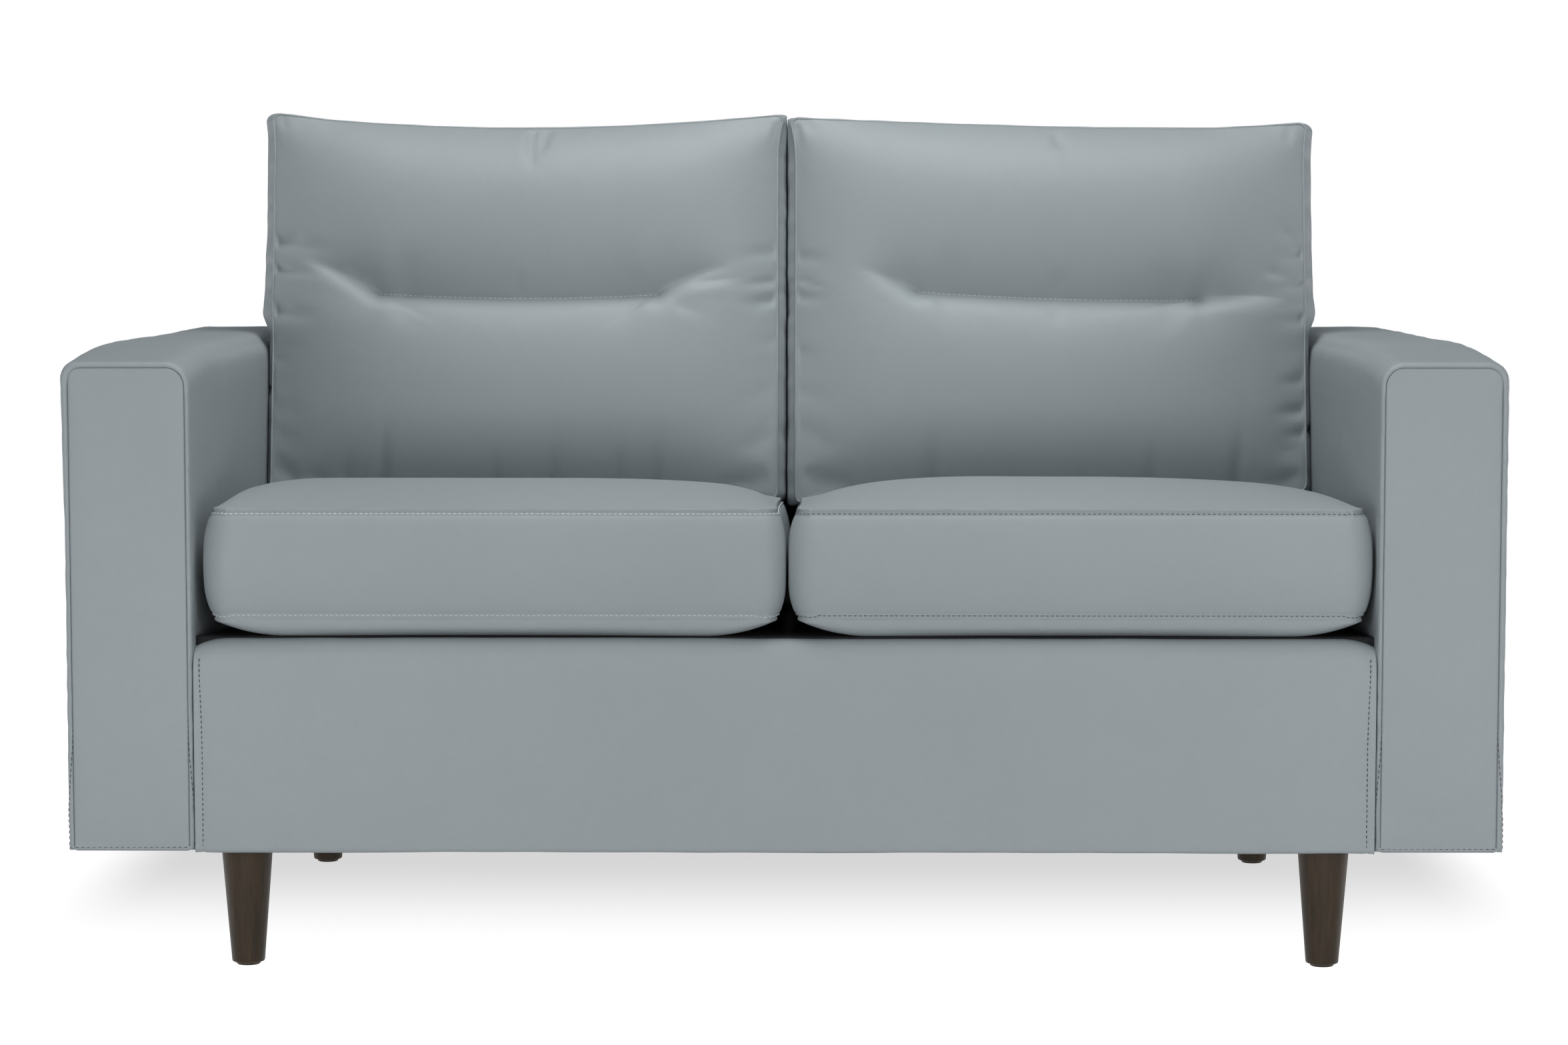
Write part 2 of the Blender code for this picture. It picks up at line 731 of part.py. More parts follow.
def make_webbing(materials, low, high, depth, half_width):
    """Elastic webbing on the fronts of the uprights: a sheet with even windows between its straps."""
    outline = []
    for z, deep in ((low, 0), (high, 0), (high, webbing_thickness), (low, webbing_thickness)):
        outline.append((back_face(z, depth + deep), z))
    webbing = prism("back_webbing", materials.webbing, outline, (-half_width, half_width))
    pitch_x = (2 * half_width - webbing_width) / webbing_columns
    pitch_z = (high - low - webbing_width) / webbing_rows
    windows = bmesh.new()
    for column in range(webbing_columns):
        left = -half_width + webbing_width + pitch_x * column
        for row in range(webbing_rows):
            bottom = low + webbing_width + pitch_z * row
            across = (left, left + pitch_x - webbing_width)
            heights = (bottom, bottom + pitch_z - webbing_width)
            near = back_face(heights[0], depth) - cut_overrun
            far = back_face(heights[1], depth + webbing_thickness) + cut_overrun
            add_block(windows, across, (near, far), heights)
    cut(webbing, cutter("webbing_windows", mesh_of("webbing_windows", windows)))


def dome(share):
    """A crown that is high in the middle and falls to zero at one and minus one."""
    return 1 - abs(share) ** 3


def crest(share, peak):
    """A crown that climbs from minus one to its peak and runs straight down to one."""
    if share < peak:
        return 1 - ((peak - share) / (peak + 1)) ** 3
    return 1 - (share - peak) / (1 - peak)


def rounded_place(a, b, half_a, half_b, radius):
    """Where a point of the unit square lies on a rectangle with round corners."""
    inner_a = 1 - radius / half_a
    inner_b = 1 - radius / half_b
    reach_a = max(0.0, (abs(a) - inner_a) / (1 - inner_a))
    reach_b = max(0.0, (abs(b) - inner_b) / (1 - inner_b))
    x = min(abs(a), inner_a) * half_a + reach_a * math.sqrt(1 - reach_b**2 / 2) * radius
    y = min(abs(b), inner_b) * half_b + reach_b * math.sqrt(1 - reach_a**2 / 2) * radius
    return math.copysign(x, a), math.copysign(y, b)


def channel_drop(form, x, y):
    """How far the sewn channel pulls the crowned panel in at a point, easing out at its ends."""
    if not form.channel:
        return 0.0
    across = abs(x - form.channel.offset) - form.channel.length / 2
    ease = min(1.0, max(0.0, 1 - across / channel_run_out))
    level = (y + form.along / 2 - form.channel.height) / channel_width
    return channel_depth * ease * ease * (3 - 2 * ease) * math.exp(-(level**2))


def cushion_point(form, inset, crowned, a, b, t):
    """Place of a point of the unit cube on the cushion, in its own three directions.

    The perimeter is a rounded rectangle whose sides pull in between the corners. The
    boxing bulges between the two seams, and the crowned panel rises by the product of
    its two profiles. The other panel swells a little and is flat where it rests.
    """
    half_a = form.across / 2 - form.bulge - inset
    half_b = form.along / 2 - form.end_bulge / 2 - inset
    x, y = rounded_place(a, b, half_a, half_b, form.corner - inset)
    x *= 1 - form.draw_in / half_a * (1 - b * b)
    end_draw = form.far_draw_in if b > 0 else form.near_draw_in
    y *= 1 - end_draw / half_b * (1 - a * a)
    y += form.end_shift
    half_t = form.boxing / 2 - inset
    if max(abs(a), abs(b)) > outer_share and abs(t) < 1:
        swell = smoothing_gain_share * (1 - t * t)
        x *= 1 + swell * (form.bulge + form.draw_in * (1 - b * b)) / half_a
        end = form.far_bulge if b > 0 else form.near_bulge
        y += math.copysign(swell * (end + end_draw * (1 - a * a)) * b * b, b)
    z = half_t * t
    if t > outer_share:
        rise = crest(b, form.crest_share) if form.crest_share is not None else dome(b)
        z += crowned * dome(a) * rise
        if inset == 0:
            z -= channel_drop(form, x, y)
    elif t < -outer_share and inset == 0:
        z -= form.swell * min(1.0, swell_rise_share * dome(a) * dome(b))
    return x, y, z


def cushion_cage(form, inset, crowned, a_shares, b_shares, t_shares):
    """A cube cut at the given shares and shaped into the cushion, its seams marked sharp."""
    bm = bmesh.new()
    bmesh.ops.create_cube(bm, size=2)
    for normal, shares in (((1, 0, 0), a_shares), ((0, 1, 0), b_shares), ((0, 0, 1), t_shares)):
        for share in shares[1:-1]:
            geometry = bm.verts[:] + bm.edges[:] + bm.faces[:]
            bmesh.ops.bisect_plane(bm, geom=geometry, plane_co=Vector(normal) * share, plane_no=normal)
    crease = bm.edges.layers.float.new("crease_edge")
    for edge in bm.edges:
        level = all(abs(v.co.z) > outer_share for v in edge.verts)
        side = all(max(abs(v.co.x), abs(v.co.y)) > outer_share for v in edge.verts)
        edge[crease] = 1.0 if level and side else 0.0
    for vert in bm.verts:
        vert.co = cushion_point(form, inset, crowned, *vert.co)
        vert.co = form.place @ vert.co
    return bm


def foam_block(form, inset):
    """The plain block inside the cover, cut into triangles that lie alike at every inset."""
    shares = core_cage_shares
    bm = cushion_cage(form, inset, form.core_crown, shares, shares, (-1.0, 1.0))
    bmesh.ops.triangulate(bm, faces=bm.faces, quad_method="FIXED")
    return bm


def local_block(form, xs, ys, zs):
    """A box in the cushion's own directions, as a bmesh."""
    bm = bmesh.new()
    low = Vector((xs[0], ys[0], zs[0]))
    high = Vector((xs[1], ys[1], zs[1]))
    box = Matrix.Translation((low + high) / 2) @ Matrix.Diagonal((*(high - low), 1))
    bmesh.ops.create_cube(bm, size=1, matrix=form.place @ box)
    return bm


def make_cushion(kind, name, form, origin, zip_side, materials):
    """A cover with its foam core inside and a zip in the boxing on one side."""
    joint = bpy.data.objects.new(f"{kind}_cushion_{name}_slide", None)
    sofa.objects.link(joint)
    joint.location = origin

    cage = cushion_cage(form, 0.0, form.crown, form.a_shares, form.b_shares, form.t_shares)
    cover = add_object(
        f"{kind}_cushion_cover_{name}", mesh_of("cover", cage), materials.leather, parent=joint
    )
    smooth = cover.modifiers.new("Smooth", "SUBSURF")
    smooth.levels = 1
    smooth.render_levels = 1
    cover.data.shade_smooth()

    room = mesh_of("room", foam_block(form, foam_inset))
    room_tool = cutter(f"{kind}_core_room_{name}", room, parent=joint)
    core = foam_block(form, foam_inset + fit_gap)
    add_object(f"{kind}_cushion_core_{name}", mesh_of("core", core), materials.foam, parent=joint)
    cut(cover, room_tool)

    half = form.zip_length / 2
    end_bulge = form.far_bulge if zip_side > 0 else form.near_bulge
    end_draw = form.far_draw_in if zip_side > 0 else form.near_draw_in
    skin = zip_side * (form.along / 2 - form.end_bulge / 2 + end_bulge - end_draw) + form.end_shift
    reach = foam_inset + end_bulge + end_draw + cut_overrun
    slot_ys = sorted((skin + zip_side * cut_overrun, skin - zip_side * reach))
    height = zip_tape_height / 2
    slot = local_block(form, (-half, half), slot_ys, (-height, height))
    slot_tool = cutter(f"{kind}_zip_slot_{name}", mesh_of("slot", slot), parent=joint)
    cut(cover, slot_tool)

    outer = skin - zip_side * zip_recess
    tape_ys = sorted((outer, outer - zip_side * zip_tape_depth))
    low = height - fit_gap
    tape = mesh_of("tape", local_block(form, (-half + fit_gap, half - fit_gap), tape_ys, (-low, low)))
    zipper = add_object(f"{kind}_cushion_zip_{name}", tape, materials.plastic, parent=joint)
    slider_ys = sorted((outer + zip_side * zip_slider_lift, outer - zip_side * zip_tape_depth / 2))
    slider_xs = (half - 2 * zip_slider_length, half - zip_slider_length)
    slider = local_block(form, slider_xs, slider_ys, (-low / 2, low / 2))
    cut(zipper, cutter(f"{kind}_zip_slider_{name}", mesh_of("slider", slider), parent=joint), "UNION")


def affine(middle, across, along, through):
    """The matrix that lays the cushion's own directions along three vectors."""
    columns = [Vector(v).to_4d() for v in (across, along, through)]
    for column in columns:
        column.w = 0
    return Matrix((*columns, Vector((*middle, 1)))).transposed()


def cage_shares(half, radius, inner):
    """Shares of a half size: the edges, where the round corners start, and the inner ones."""
    corner = 1 - radius / half
    return (-1.0, -corner, *inner, corner, 1.0)


def make_seat_cushions(materials):
    for name, side in (("left", -1), ("right", 1)):
        x = seat_cushion_shift + side * (seat_cushion_width + seat_pair_gap) / 2
        middle_setback = seat_cushion_setback + seat_cushion_depth / 2
        crest_share = (seat_crest_setback - middle_setback) / (seat_cushion_depth / 2)
        seat_level = deck(middle_setback) + fit_gap
        form = SimpleNamespace(
            across=seat_cushion_width,
            along=seat_cushion_depth,
            boxing=seat_boxing,
            swell=seat_swell,
            crown=seat_crown,
            core_crown=seat_crown / 2,
            crest_share=crest_share,
            corner=seat_corner_radius,
            bulge=seat_bulge,
            near_bulge=seat_bulge,
            far_bulge=seat_bulge,
            end_bulge=2 * seat_bulge,
            end_shift=0.0,
            draw_in=seat_draw_in,
            near_draw_in=seat_draw_in,
            far_draw_in=seat_draw_in,
            channel=None,
            zip_length=seat_zip_length,
            a_shares=cage_shares(
                seat_cushion_width / 2 - seat_bulge, seat_corner_radius, seat_across_shares
            ),
            b_shares=cage_shares(
                seat_cushion_depth / 2 - seat_bulge,
                seat_corner_radius,
                (*seat_front_shares, crest_share, *seat_rear_shares),
            ),
            t_shares=seat_boxing_shares,
        )
        rise = seat_swell + seat_boxing / 2
        form.place = affine((0, 0, rise), (1, 0, 0), (0, 1, -math.tan(deck_rake)), (0, 0, 1))
        origin = (x, front_y + middle_setback, seat_level)
        make_cushion("seat", name, form, origin, 1, materials)


def seat_crest_line():
    """Height at zero setback and slope of the line that the back cushions stand on."""
    rear = seat_cushion_setback + seat_cushion_depth
    top = seat_swell + seat_boxing
    peak_height = deck(seat_crest_setback) + fit_gap + top + seat_crown
    rear_height = deck(rear) + fit_gap + top
    slope = (rear_height - peak_height) / (rear - seat_crest_setback)
    return peak_height - slope * seat_crest_setback, slope


def make_back_cushions(materials):
    """Cushions that lean on the raked face and stand on the crest line of the seat cushions."""
    level, slope = seat_crest_line()
    lean = math.tan(back_rake)
    face_zero = back_face(0.0, -fit_gap)
    heel_setback = (face_zero + lean * (level + fit_gap)) / (1 - lean * slope)
    heel_height = level + fit_gap + slope * heel_setback
    up = Vector((0, math.sin(back_rake), math.cos(back_rake)))
    forward = Vector((0, -1, -slope)).normalized()
    squareness = forward.dot(Vector((0, -math.cos(back_rake), math.sin(back_rake))))
    pairs = (("left", -1, back_left_height, 0.0), ("right", 1, back_right_height, right_channel_offset))
    for name, side, height, offset in pairs:
        x = back_cushion_shift + side * (back_cushion_width + back_pair_gap) / 2
        channel_share = 2 * channel_height / height - 1
        rows = (channel_share - channel_row_share, channel_share, channel_share + channel_row_share)
        form = SimpleNamespace(
            across=back_cushion_width,
            along=height,
            boxing=back_boxing,
            swell=back_swell,
            crown=back_crown,
            core_crown=0.0,
            crest_share=None,
            corner=back_corner_radius,
            bulge=back_bulge,
            near_bulge=0.0,
            far_bulge=back_bulge,
            end_bulge=back_bulge,
            end_shift=-back_bulge / 2,
            draw_in=back_draw_in,
            near_draw_in=0.0,
            far_draw_in=back_top_dip,
            channel=SimpleNamespace(offset=offset, length=channel_length, height=channel_height),
            zip_length=back_zip_length,
            a_shares=cage_shares(
                back_cushion_width / 2 - back_bulge, back_corner_radius, back_across_shares
            ),
            b_shares=cage_shares(
                height / 2 - back_bulge / 2,
                back_corner_radius,
                (*back_low_shares, *rows, *back_high_shares),
            ),
            t_shares=back_boxing_shares,
        )
        depth = (back_swell + back_boxing / 2) / squareness
        middle = up * (height / 2) + forward * depth
        form.place = affine(middle, (1, 0, 0), up, forward / squareness)
        origin = (x, front_y + heel_setback, heel_height)
        make_cushion("back", name, form, origin, -1, materials)


def main():
    clear_scene()
    materials = make_materials()
    leg_holes = leg_bolt_holes()
    arm_holes = arm_bolt_holes()
    make_legs(materials, leg_holes)
    make_leg_bolts(materials)
    make_seat_frame(materials, leg_holes, arm_holes)
    make_base_front(materials)
    make_springs(materials)
    make_deck(materials)
    make_arm("left", -1, materials, arm_holes)
    make_arm("right", 1, materials, arm_holes)
    make_arm_bolts(materials)
    make_back(materials)
    make_seat_cushions(materials)
    make_back_cushions(materials)
    bpy.context.view_layer.update()


main()
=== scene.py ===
"""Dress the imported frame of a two-seat box-arm sofa with covers, cushions, stitching and legs."""

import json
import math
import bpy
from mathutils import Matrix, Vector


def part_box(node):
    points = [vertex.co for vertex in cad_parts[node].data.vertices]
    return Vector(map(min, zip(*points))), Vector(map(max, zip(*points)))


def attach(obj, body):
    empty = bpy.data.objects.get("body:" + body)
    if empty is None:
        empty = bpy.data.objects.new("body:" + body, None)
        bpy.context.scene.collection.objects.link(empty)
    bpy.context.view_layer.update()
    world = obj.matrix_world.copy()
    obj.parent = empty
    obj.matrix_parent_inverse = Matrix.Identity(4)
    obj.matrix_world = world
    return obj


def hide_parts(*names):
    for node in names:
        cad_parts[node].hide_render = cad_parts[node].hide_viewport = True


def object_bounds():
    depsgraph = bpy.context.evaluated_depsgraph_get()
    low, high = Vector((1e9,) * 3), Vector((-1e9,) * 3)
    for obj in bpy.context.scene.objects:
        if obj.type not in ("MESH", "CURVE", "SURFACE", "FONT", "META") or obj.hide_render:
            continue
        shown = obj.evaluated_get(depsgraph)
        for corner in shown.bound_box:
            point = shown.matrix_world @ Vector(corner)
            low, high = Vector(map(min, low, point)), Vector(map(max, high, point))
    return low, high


bl_info = {
    "name": "Two-seat box-arm sofa",
    "version": (1, 0, 0),
    "blender": (4, 5, 0),
    "location": "3D View > Sidebar > Sofa",
    "description": "Covers, cushions, stitching and legs of a two-seat faux leather sofa",
    "category": "Add Mesh",
}

import bpy
import numpy as np
from mathutils import Vector

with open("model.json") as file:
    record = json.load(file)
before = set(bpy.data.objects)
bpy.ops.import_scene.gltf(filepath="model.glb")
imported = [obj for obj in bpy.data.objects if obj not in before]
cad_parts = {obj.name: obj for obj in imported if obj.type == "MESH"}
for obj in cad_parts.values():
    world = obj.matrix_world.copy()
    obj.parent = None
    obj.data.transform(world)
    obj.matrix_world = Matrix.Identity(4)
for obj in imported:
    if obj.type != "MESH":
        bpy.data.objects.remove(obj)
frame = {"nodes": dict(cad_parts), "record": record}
cad_box = [[float(c) for c in corner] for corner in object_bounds()]

sides = (("left", -1.0), ("right", 1.0))
front_y = cad_box[0][1]

# The back leans by this angle, and the deck falls by this much for each metre to the rear.
back_lean = math.radians(11.0)
deck_fall = math.tan(math.radians(3.0))
# Heights at the sofa's front: of the arms, and of the deck that the seats lie on.
arm_height = 0.653
deck_height = 0.3623
# Pitch and visible length of the shorter stitches, and of the staples with their radius.
base_stitch = (0.0055, 0.0036)
seat_stitch = (0.0055, 0.0039)
staple = (0.048, 0.011, 0.0005)


def node_box(name):
    """Lowest and highest corner of a node of the frame, as arrays."""
    low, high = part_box(name)
    return np.array(low), np.array(high)


# Curves and noise


def split(points):
    """The three parts of an array of points."""
    return points[..., 0], points[..., 1], points[..., 2]


def join(*parts):
    """An array of points from its three parts, of which some may be one number for all."""
    return np.stack(np.broadcast_arrays(*parts), axis=-1)


def ease(share):
    """S-curve: 3 share squared minus 2 share cubed, held at 0 below 0 and at 1 above 1."""
    share = np.clip(share, 0.0, 1.0)
    return share * share * (3.0 - 2.0 * share)


def bell(distance, width):
    """e to the minus of distance over width, squared."""
    return np.exp(-((distance / width) ** 2))


def soft_limit(value, limit, softness):
    """Bend values off before a limit.

    It is limit less softness times ln(1 + e to the (limit less value) over softness).
    """
    return limit - softness * np.logaddexp(0, (limit - value) / softness)


def flat_middle(a, power):
    """A profile that is 1 in the middle and 0 at 1 and -1: one minus a to the power."""
    return 1 - np.abs(a) ** power


def edge_fall(gap, radius):
    """How far a rounded edge has fallen back at a gap from it: radius less a quarter circle."""
    lack = 1 - np.clip(gap / radius, 0, 1)
    return radius * (1 - np.sqrt(np.clip(1 - lack**2, 0, 1)))


def soft_noise(x, y, length, seed):
    """Smooth noise from -1 to 1: seeded values on a square lattice, blended with S-curves."""
    count = 64
    lattice = np.random.default_rng(seed).uniform(-1.0, 1.0, (count, count))
    u, v = np.asarray(x) / length, np.asarray(y) / length
    i, j = np.floor(u).astype(int), np.floor(v).astype(int)
    s, t = ease(u - i), ease(v - j)
    i, j = i % count, j % count
    i1, j1 = (i + 1) % count, (j + 1) % count
    low = lattice[i, j] * (1 - s) + lattice[i1, j] * s
    high = lattice[i, j1] * (1 - s) + lattice[i1, j1] * s
    return low * (1 - t) + high * t


def places(low, high, coarse, fine_spots):
    """Places from low to high. The step is coarse, and near each spot it eases down to fine.

    Each spot is (place, fine step, reach). The count of steps up to a place is the sum of
    one over the step, and the places are where that count takes even values.
    """
    dense = np.linspace(low, high, 4001)
    step = np.full_like(dense, coarse)
    for place, fine, reach in fine_spots:
        step = np.minimum(step, fine + (coarse - fine) * ease(np.abs(dense - place) / reach))
    steps = (dense[1:] - dense[:-1]) * 2 / (step[1:] + step[:-1])
    count = np.concatenate([[0.0], np.cumsum(steps)])
    return np.interp(np.linspace(0, count[-1], int(math.ceil(count[-1])) + 1), count, dense)


def bend(start, middle, end, count=14):
    """Points of a parabola that starts at start, ends at end and passes through middle."""
    start, middle, end = (np.asarray(p, float) for p in (start, middle, end))
    pull = 2 * middle - (start + end) / 2
    t = np.linspace(0, 1, count)[:, None]
    return (1 - t) ** 2 * start + 2 * t * (1 - t) * pull + t * t * end


def off_path(x, y, path):
    """Signed distance of each grid point from a path of points, and its share along the path."""
    starts, ends = path[:-1], path[1:]
    run = ends - starts
    length = np.linalg.norm(run, axis=1)
    gone = np.concatenate([[0.0], np.cumsum(length)])
    shape = (-1,) + (1,) * x.ndim
    ux, uy = (run[:, 0] / length).reshape(shape), (run[:, 1] / length).reshape(shape)
    dx, dy = x - starts[:, 0].reshape(shape), y - starts[:, 1].reshape(shape)
    along = np.clip(dx * ux + dy * uy, 0, length.reshape(shape))
    gap = np.hypot(dx - along * ux, dy - along * uy)
    nearest = np.argmin(gap, axis=0)[None]
    side = np.sign(np.take_along_axis(ux * dy - uy * dx, nearest, 0))[0]
    share = (np.take_along_axis(along + gone[:-1].reshape(shape), nearest, 0))[0] / gone[-1]
    return side * np.take_along_axis(gap, nearest, 0)[0], share


def furrow(x, y, path, depth, above, below, ridge, start_share):
    """A crease pressed along a path, as a height that is negative in the crease.

    It rises from its depth by e to the minus of the distance over a width, which is above
    on its upper side and below on its lower one. A ridge of its own height stands just
    under it. Its depth eases to start_share at its start and to nothing at its end.
    """
    soft = 0.0014
    distance, share = off_path(x, y, path)
    distance = distance * math.copysign(1.0, path[-1, 0] - path[0, 0])
    begin = start_share + (1 - start_share) * ease(share / 0.35)
    strength = begin * ease((1 - share) / 0.75)
    width = np.where(distance > 0, above, below)
    height = -depth * np.exp(-(np.sqrt(distance**2 + soft**2) - soft) / width)
    height += ridge * bell(distance + 1.9 * below, 1.5 * below)
    return strength * height


# Grids and meshes


def round_corners(x, y, radii):
    """Pull a grid's corners onto arcs.

    Within a corner's square, whose shares are u and v, the point moves to u times the root
    of one minus half v squared, and v times the root of one minus half u squared.
    """
    low_x, high_x, low_y, high_y = x.min(), x.max(), y.min(), y.max()
    for (side_x, side_y), radius in radii.items():
        centre_x = high_x - radius if side_x > 0 else low_x + radius
        centre_y = high_y - radius if side_y > 0 else low_y + radius
        u, v = side_x * (x - centre_x) / radius, side_y * (y - centre_y) / radius
        inside = (u > 0) & (v > 0)
        u, v = np.clip(u, 0, 1), np.clip(v, 0, 1)
        x = np.where(inside, centre_x + side_x * radius * u * np.sqrt(1 - v * v / 2), x)
        y = np.where(inside, centre_y + side_y * radius * v * np.sqrt(1 - u * u / 2), y)
    return x, y


def even_radii(radius):
    """The same radius for all four corners."""
    return {(a, b): radius for a in (-1, 1) for b in (-1, 1)}


def arm_radii(side, outer, inner, bottom=0.002):
    """Radii of an arm's outline: at its outer top corner, its inner top one and below."""
    return {(side, 1): outer, (-side, 1): inner, (side, -1): bottom, (-side, -1): bottom}


def rim(rows, columns):
    """Row and column of each node round a grid's rim, anticlockwise from its low corner."""
    up, across = np.arange(rows - 1), np.arange(columns - 1)
    row = np.concatenate([0 * across, up, 0 * across + rows - 1, rows - 1 - up])
    column = np.concatenate([across, 0 * up + columns - 1, columns - 1 - across, 0 * up])
    return row, column


def rim_normals(x, y):
    """Outward unit directions of a closed outline that runs anticlockwise."""
    tx, ty = np.roll(x, -1) - np.roll(x, 1), np.roll(y, -1) - np.roll(y, 1)
    length = np.hypot(tx, ty)
    return ty / length, -tx / length


def grid_quads(rows, columns):
    """Corner numbers of the quads of a grid, anticlockwise."""
    start = (np.arange(rows - 1)[:, None] * columns + np.arange(columns - 1)).ravel()
    return np.stack([start, start + 1, start + 1 + columns, start + columns], axis=1)


def closed_quads(rows, columns, rings):
    """Quads of a closed form: a front grid, a rear grid, and rings between their rims.

    The points are the front grid, the rear grid, then the rings from rear to front.
    """
    panel = grid_quads(rows, columns)
    row, column = rim(rows, columns)
    edge = row * columns + column
    loops = np.arange(rings * len(edge)).reshape(rings, -1) + 2 * rows * columns
    loops = np.concatenate([[edge + rows * columns], loops, [edge]])
    nexts = np.roll(loops, -1, axis=1)
    band = np.stack([loops[:-1], nexts[:-1], nexts[1:], loops[1:]], axis=-1).reshape(-1, 4)
    return np.concatenate([panel, panel[:, ::-1] + rows * columns, band])


def put_mesh(name, points, quads, material, body):
    """Make an object at the origin from an array of points and an array of quads."""
    mesh = bpy.data.meshes.new(name)
    mesh.vertices.add(len(points))
    mesh.vertices.foreach_set("co", np.ascontiguousarray(points, np.float32).ravel())
    mesh.loops.add(quads.size)
    mesh.loops.foreach_set("vertex_index", np.ascontiguousarray(quads, np.int32).ravel())
    mesh.polygons.add(len(quads))
    mesh.polygons.foreach_set("loop_start", np.arange(len(quads), dtype=np.int32) * 4)
    mesh.update(calc_edges=True)
    mesh.validate()
    mesh.shade_smooth()
    mesh.materials.append(material)
    piece = bpy.data.objects.new(name, mesh)
    bpy.context.scene.collection.objects.link(piece)
    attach(piece, body)
    return piece


class Form:
    """A closed form of a front panel, a rear panel and the rings that join their rims.

    panel(x, y, front) gives the places of the front panel where front is 1, and of the
    rear panel where it is -1. ring(x, y, out_x, out_y, share) gives the places of a ring, whose
    share runs from -1 at the rear panel to 1 at the front one. out_x and out_y point
    outwards from the rim. lay puts places of the form's own directions into the world.
    """

    def __init__(self, xs, ys, shares, radii, panel, ring, lay):
        self.xs, self.ys, self.shares = xs, ys, shares
        x, y = round_corners(*np.meshgrid(xs, ys), radii)
        row, column = rim(len(ys), len(xs))
        edge = (x[row, column], y[row, column])
        edge = (*edge, *rim_normals(*edge))
        self.front, self.rear = lay(panel(x, y, 1)), lay(panel(x, y, -1))
        loops = [lay(ring(*edge, share)) for share in shares[1:-1]]
        self.band = np.array([self.rear[row, column], *loops, self.front[row, column]])

    def points(self):
        """All places in the order of closed_quads: front, rear, then the rings between."""
        parts = (self.front, self.rear, self.band[1:-1])
        return np.concatenate([part.reshape(-1, 3) for part in parts])

    def quads(self):
        """The form's quads, facing outwards."""
        return closed_quads(len(self.ys), len(self.xs), len(self.shares) - 2)

    def take_moves(self, coarse, moves):
        """Add the moves of a coarse form's nodes, carried over to this form's finer grids."""
        grids = (coarse.ys, coarse.xs, self.ys, self.xs)
        self.front = self.front + carry_grid(moves[0], *grids)
        self.rear = self.rear + carry_grid(moves[1], *grids)
        columns, rows = len(coarse.xs), len(coarse.ys)
        corners = np.cumsum([0, columns - 1, rows - 1, columns - 1, rows - 1])
        loop = np.concatenate([moves[2], moves[2][:, :1]], axis=1)
        parts = []
        for k, (old, new) in enumerate(((coarse.xs, self.xs), (coarse.ys, self.ys)) * 2):
            part = loop[:, corners[k] : corners[k + 1] + 1]
            if k > 1:
                part = part[:, ::-1]
            part = carry_grid(part, coarse.shares, old, self.shares, new)
            parts.append((part[:, ::-1] if k > 1 else part)[:, :-1])
        self.band = self.band + np.concatenate(parts, axis=1)

    def on_front(self, x, y):
        """Places on the front panel at the grid's own x and y, blended between its nodes."""
        i = np.interp(x, self.xs, np.arange(len(self.xs)))
        j = np.interp(y, self.ys, np.arange(len(self.ys)))
        i0 = np.clip(np.floor(i).astype(int), 0, len(self.xs) - 2)
        j0 = np.clip(np.floor(j).astype(int), 0, len(self.ys) - 2)
        s, t = (i - i0)[:, None], (j - j0)[:, None]
        low = self.front[j0, i0] * (1 - s) + self.front[j0, i0 + 1] * s
        high = self.front[j0 + 1, i0] * (1 - s) + self.front[j0 + 1, i0 + 1] * s
        return low * (1 - t) + high * t

    def on_band(self, distance, from_front=True):
        """The loop on the band at a distance from its front or rear seam, and its normals."""
        band = self.band[::-1] if from_front else self.band
        step = np.linalg.norm(np.diff(band, axis=0), axis=2)
        gone = np.concatenate([np.zeros((1, step.shape[1])), np.cumsum(step, axis=0)])
        k = np.clip((gone < distance).sum(axis=0) - 1, 0, len(step) - 1)
        column = np.arange(step.shape[1])
        share = ((distance - gone[k, column]) / step[k, column])[:, None]
        loop = band[k, column] * (1 - share) + band[k + 1, column] * share
        down = band[k + 1, column] - band[k, column]
        onward = np.roll(loop, -1, axis=0) - np.roll(loop, 1, axis=0)
        normal = np.cross(down, onward) if from_front else np.cross(onward, down)
        return loop, normal / np.linalg.norm(normal, axis=1)[:, None]


def carry(values, old, new):
    """Values known at old places, read at new ones along the first axis by cubic curves."""
    slope = np.gradient(values, old, axis=0)
    k = np.clip(np.searchsorted(old, new, side="right") - 1, 0, len(old) - 2)
    shape = (-1,) + (1,) * (values.ndim - 1)
    step = (old[k + 1] - old[k]).reshape(shape)
    t = (new - old[k]).reshape(shape) / step
    return (
        (2 * t**3 - 3 * t**2 + 1) * values[k]
        + (t**3 - 2 * t**2 + t) * step * slope[k]
        + (3 * t**2 - 2 * t**3) * values[k + 1]
        + (t**3 - t**2) * step * slope[k + 1]
    )


def carry_grid(values, old_rows, old_columns, new_rows, new_columns):
    """Values known on an old grid, read at the rows and columns of a new one."""
    down = carry(values, old_rows, new_rows)
    return np.swapaxes(carry(np.swapaxes(down, 0, 1), old_columns, new_columns), 0, 1)


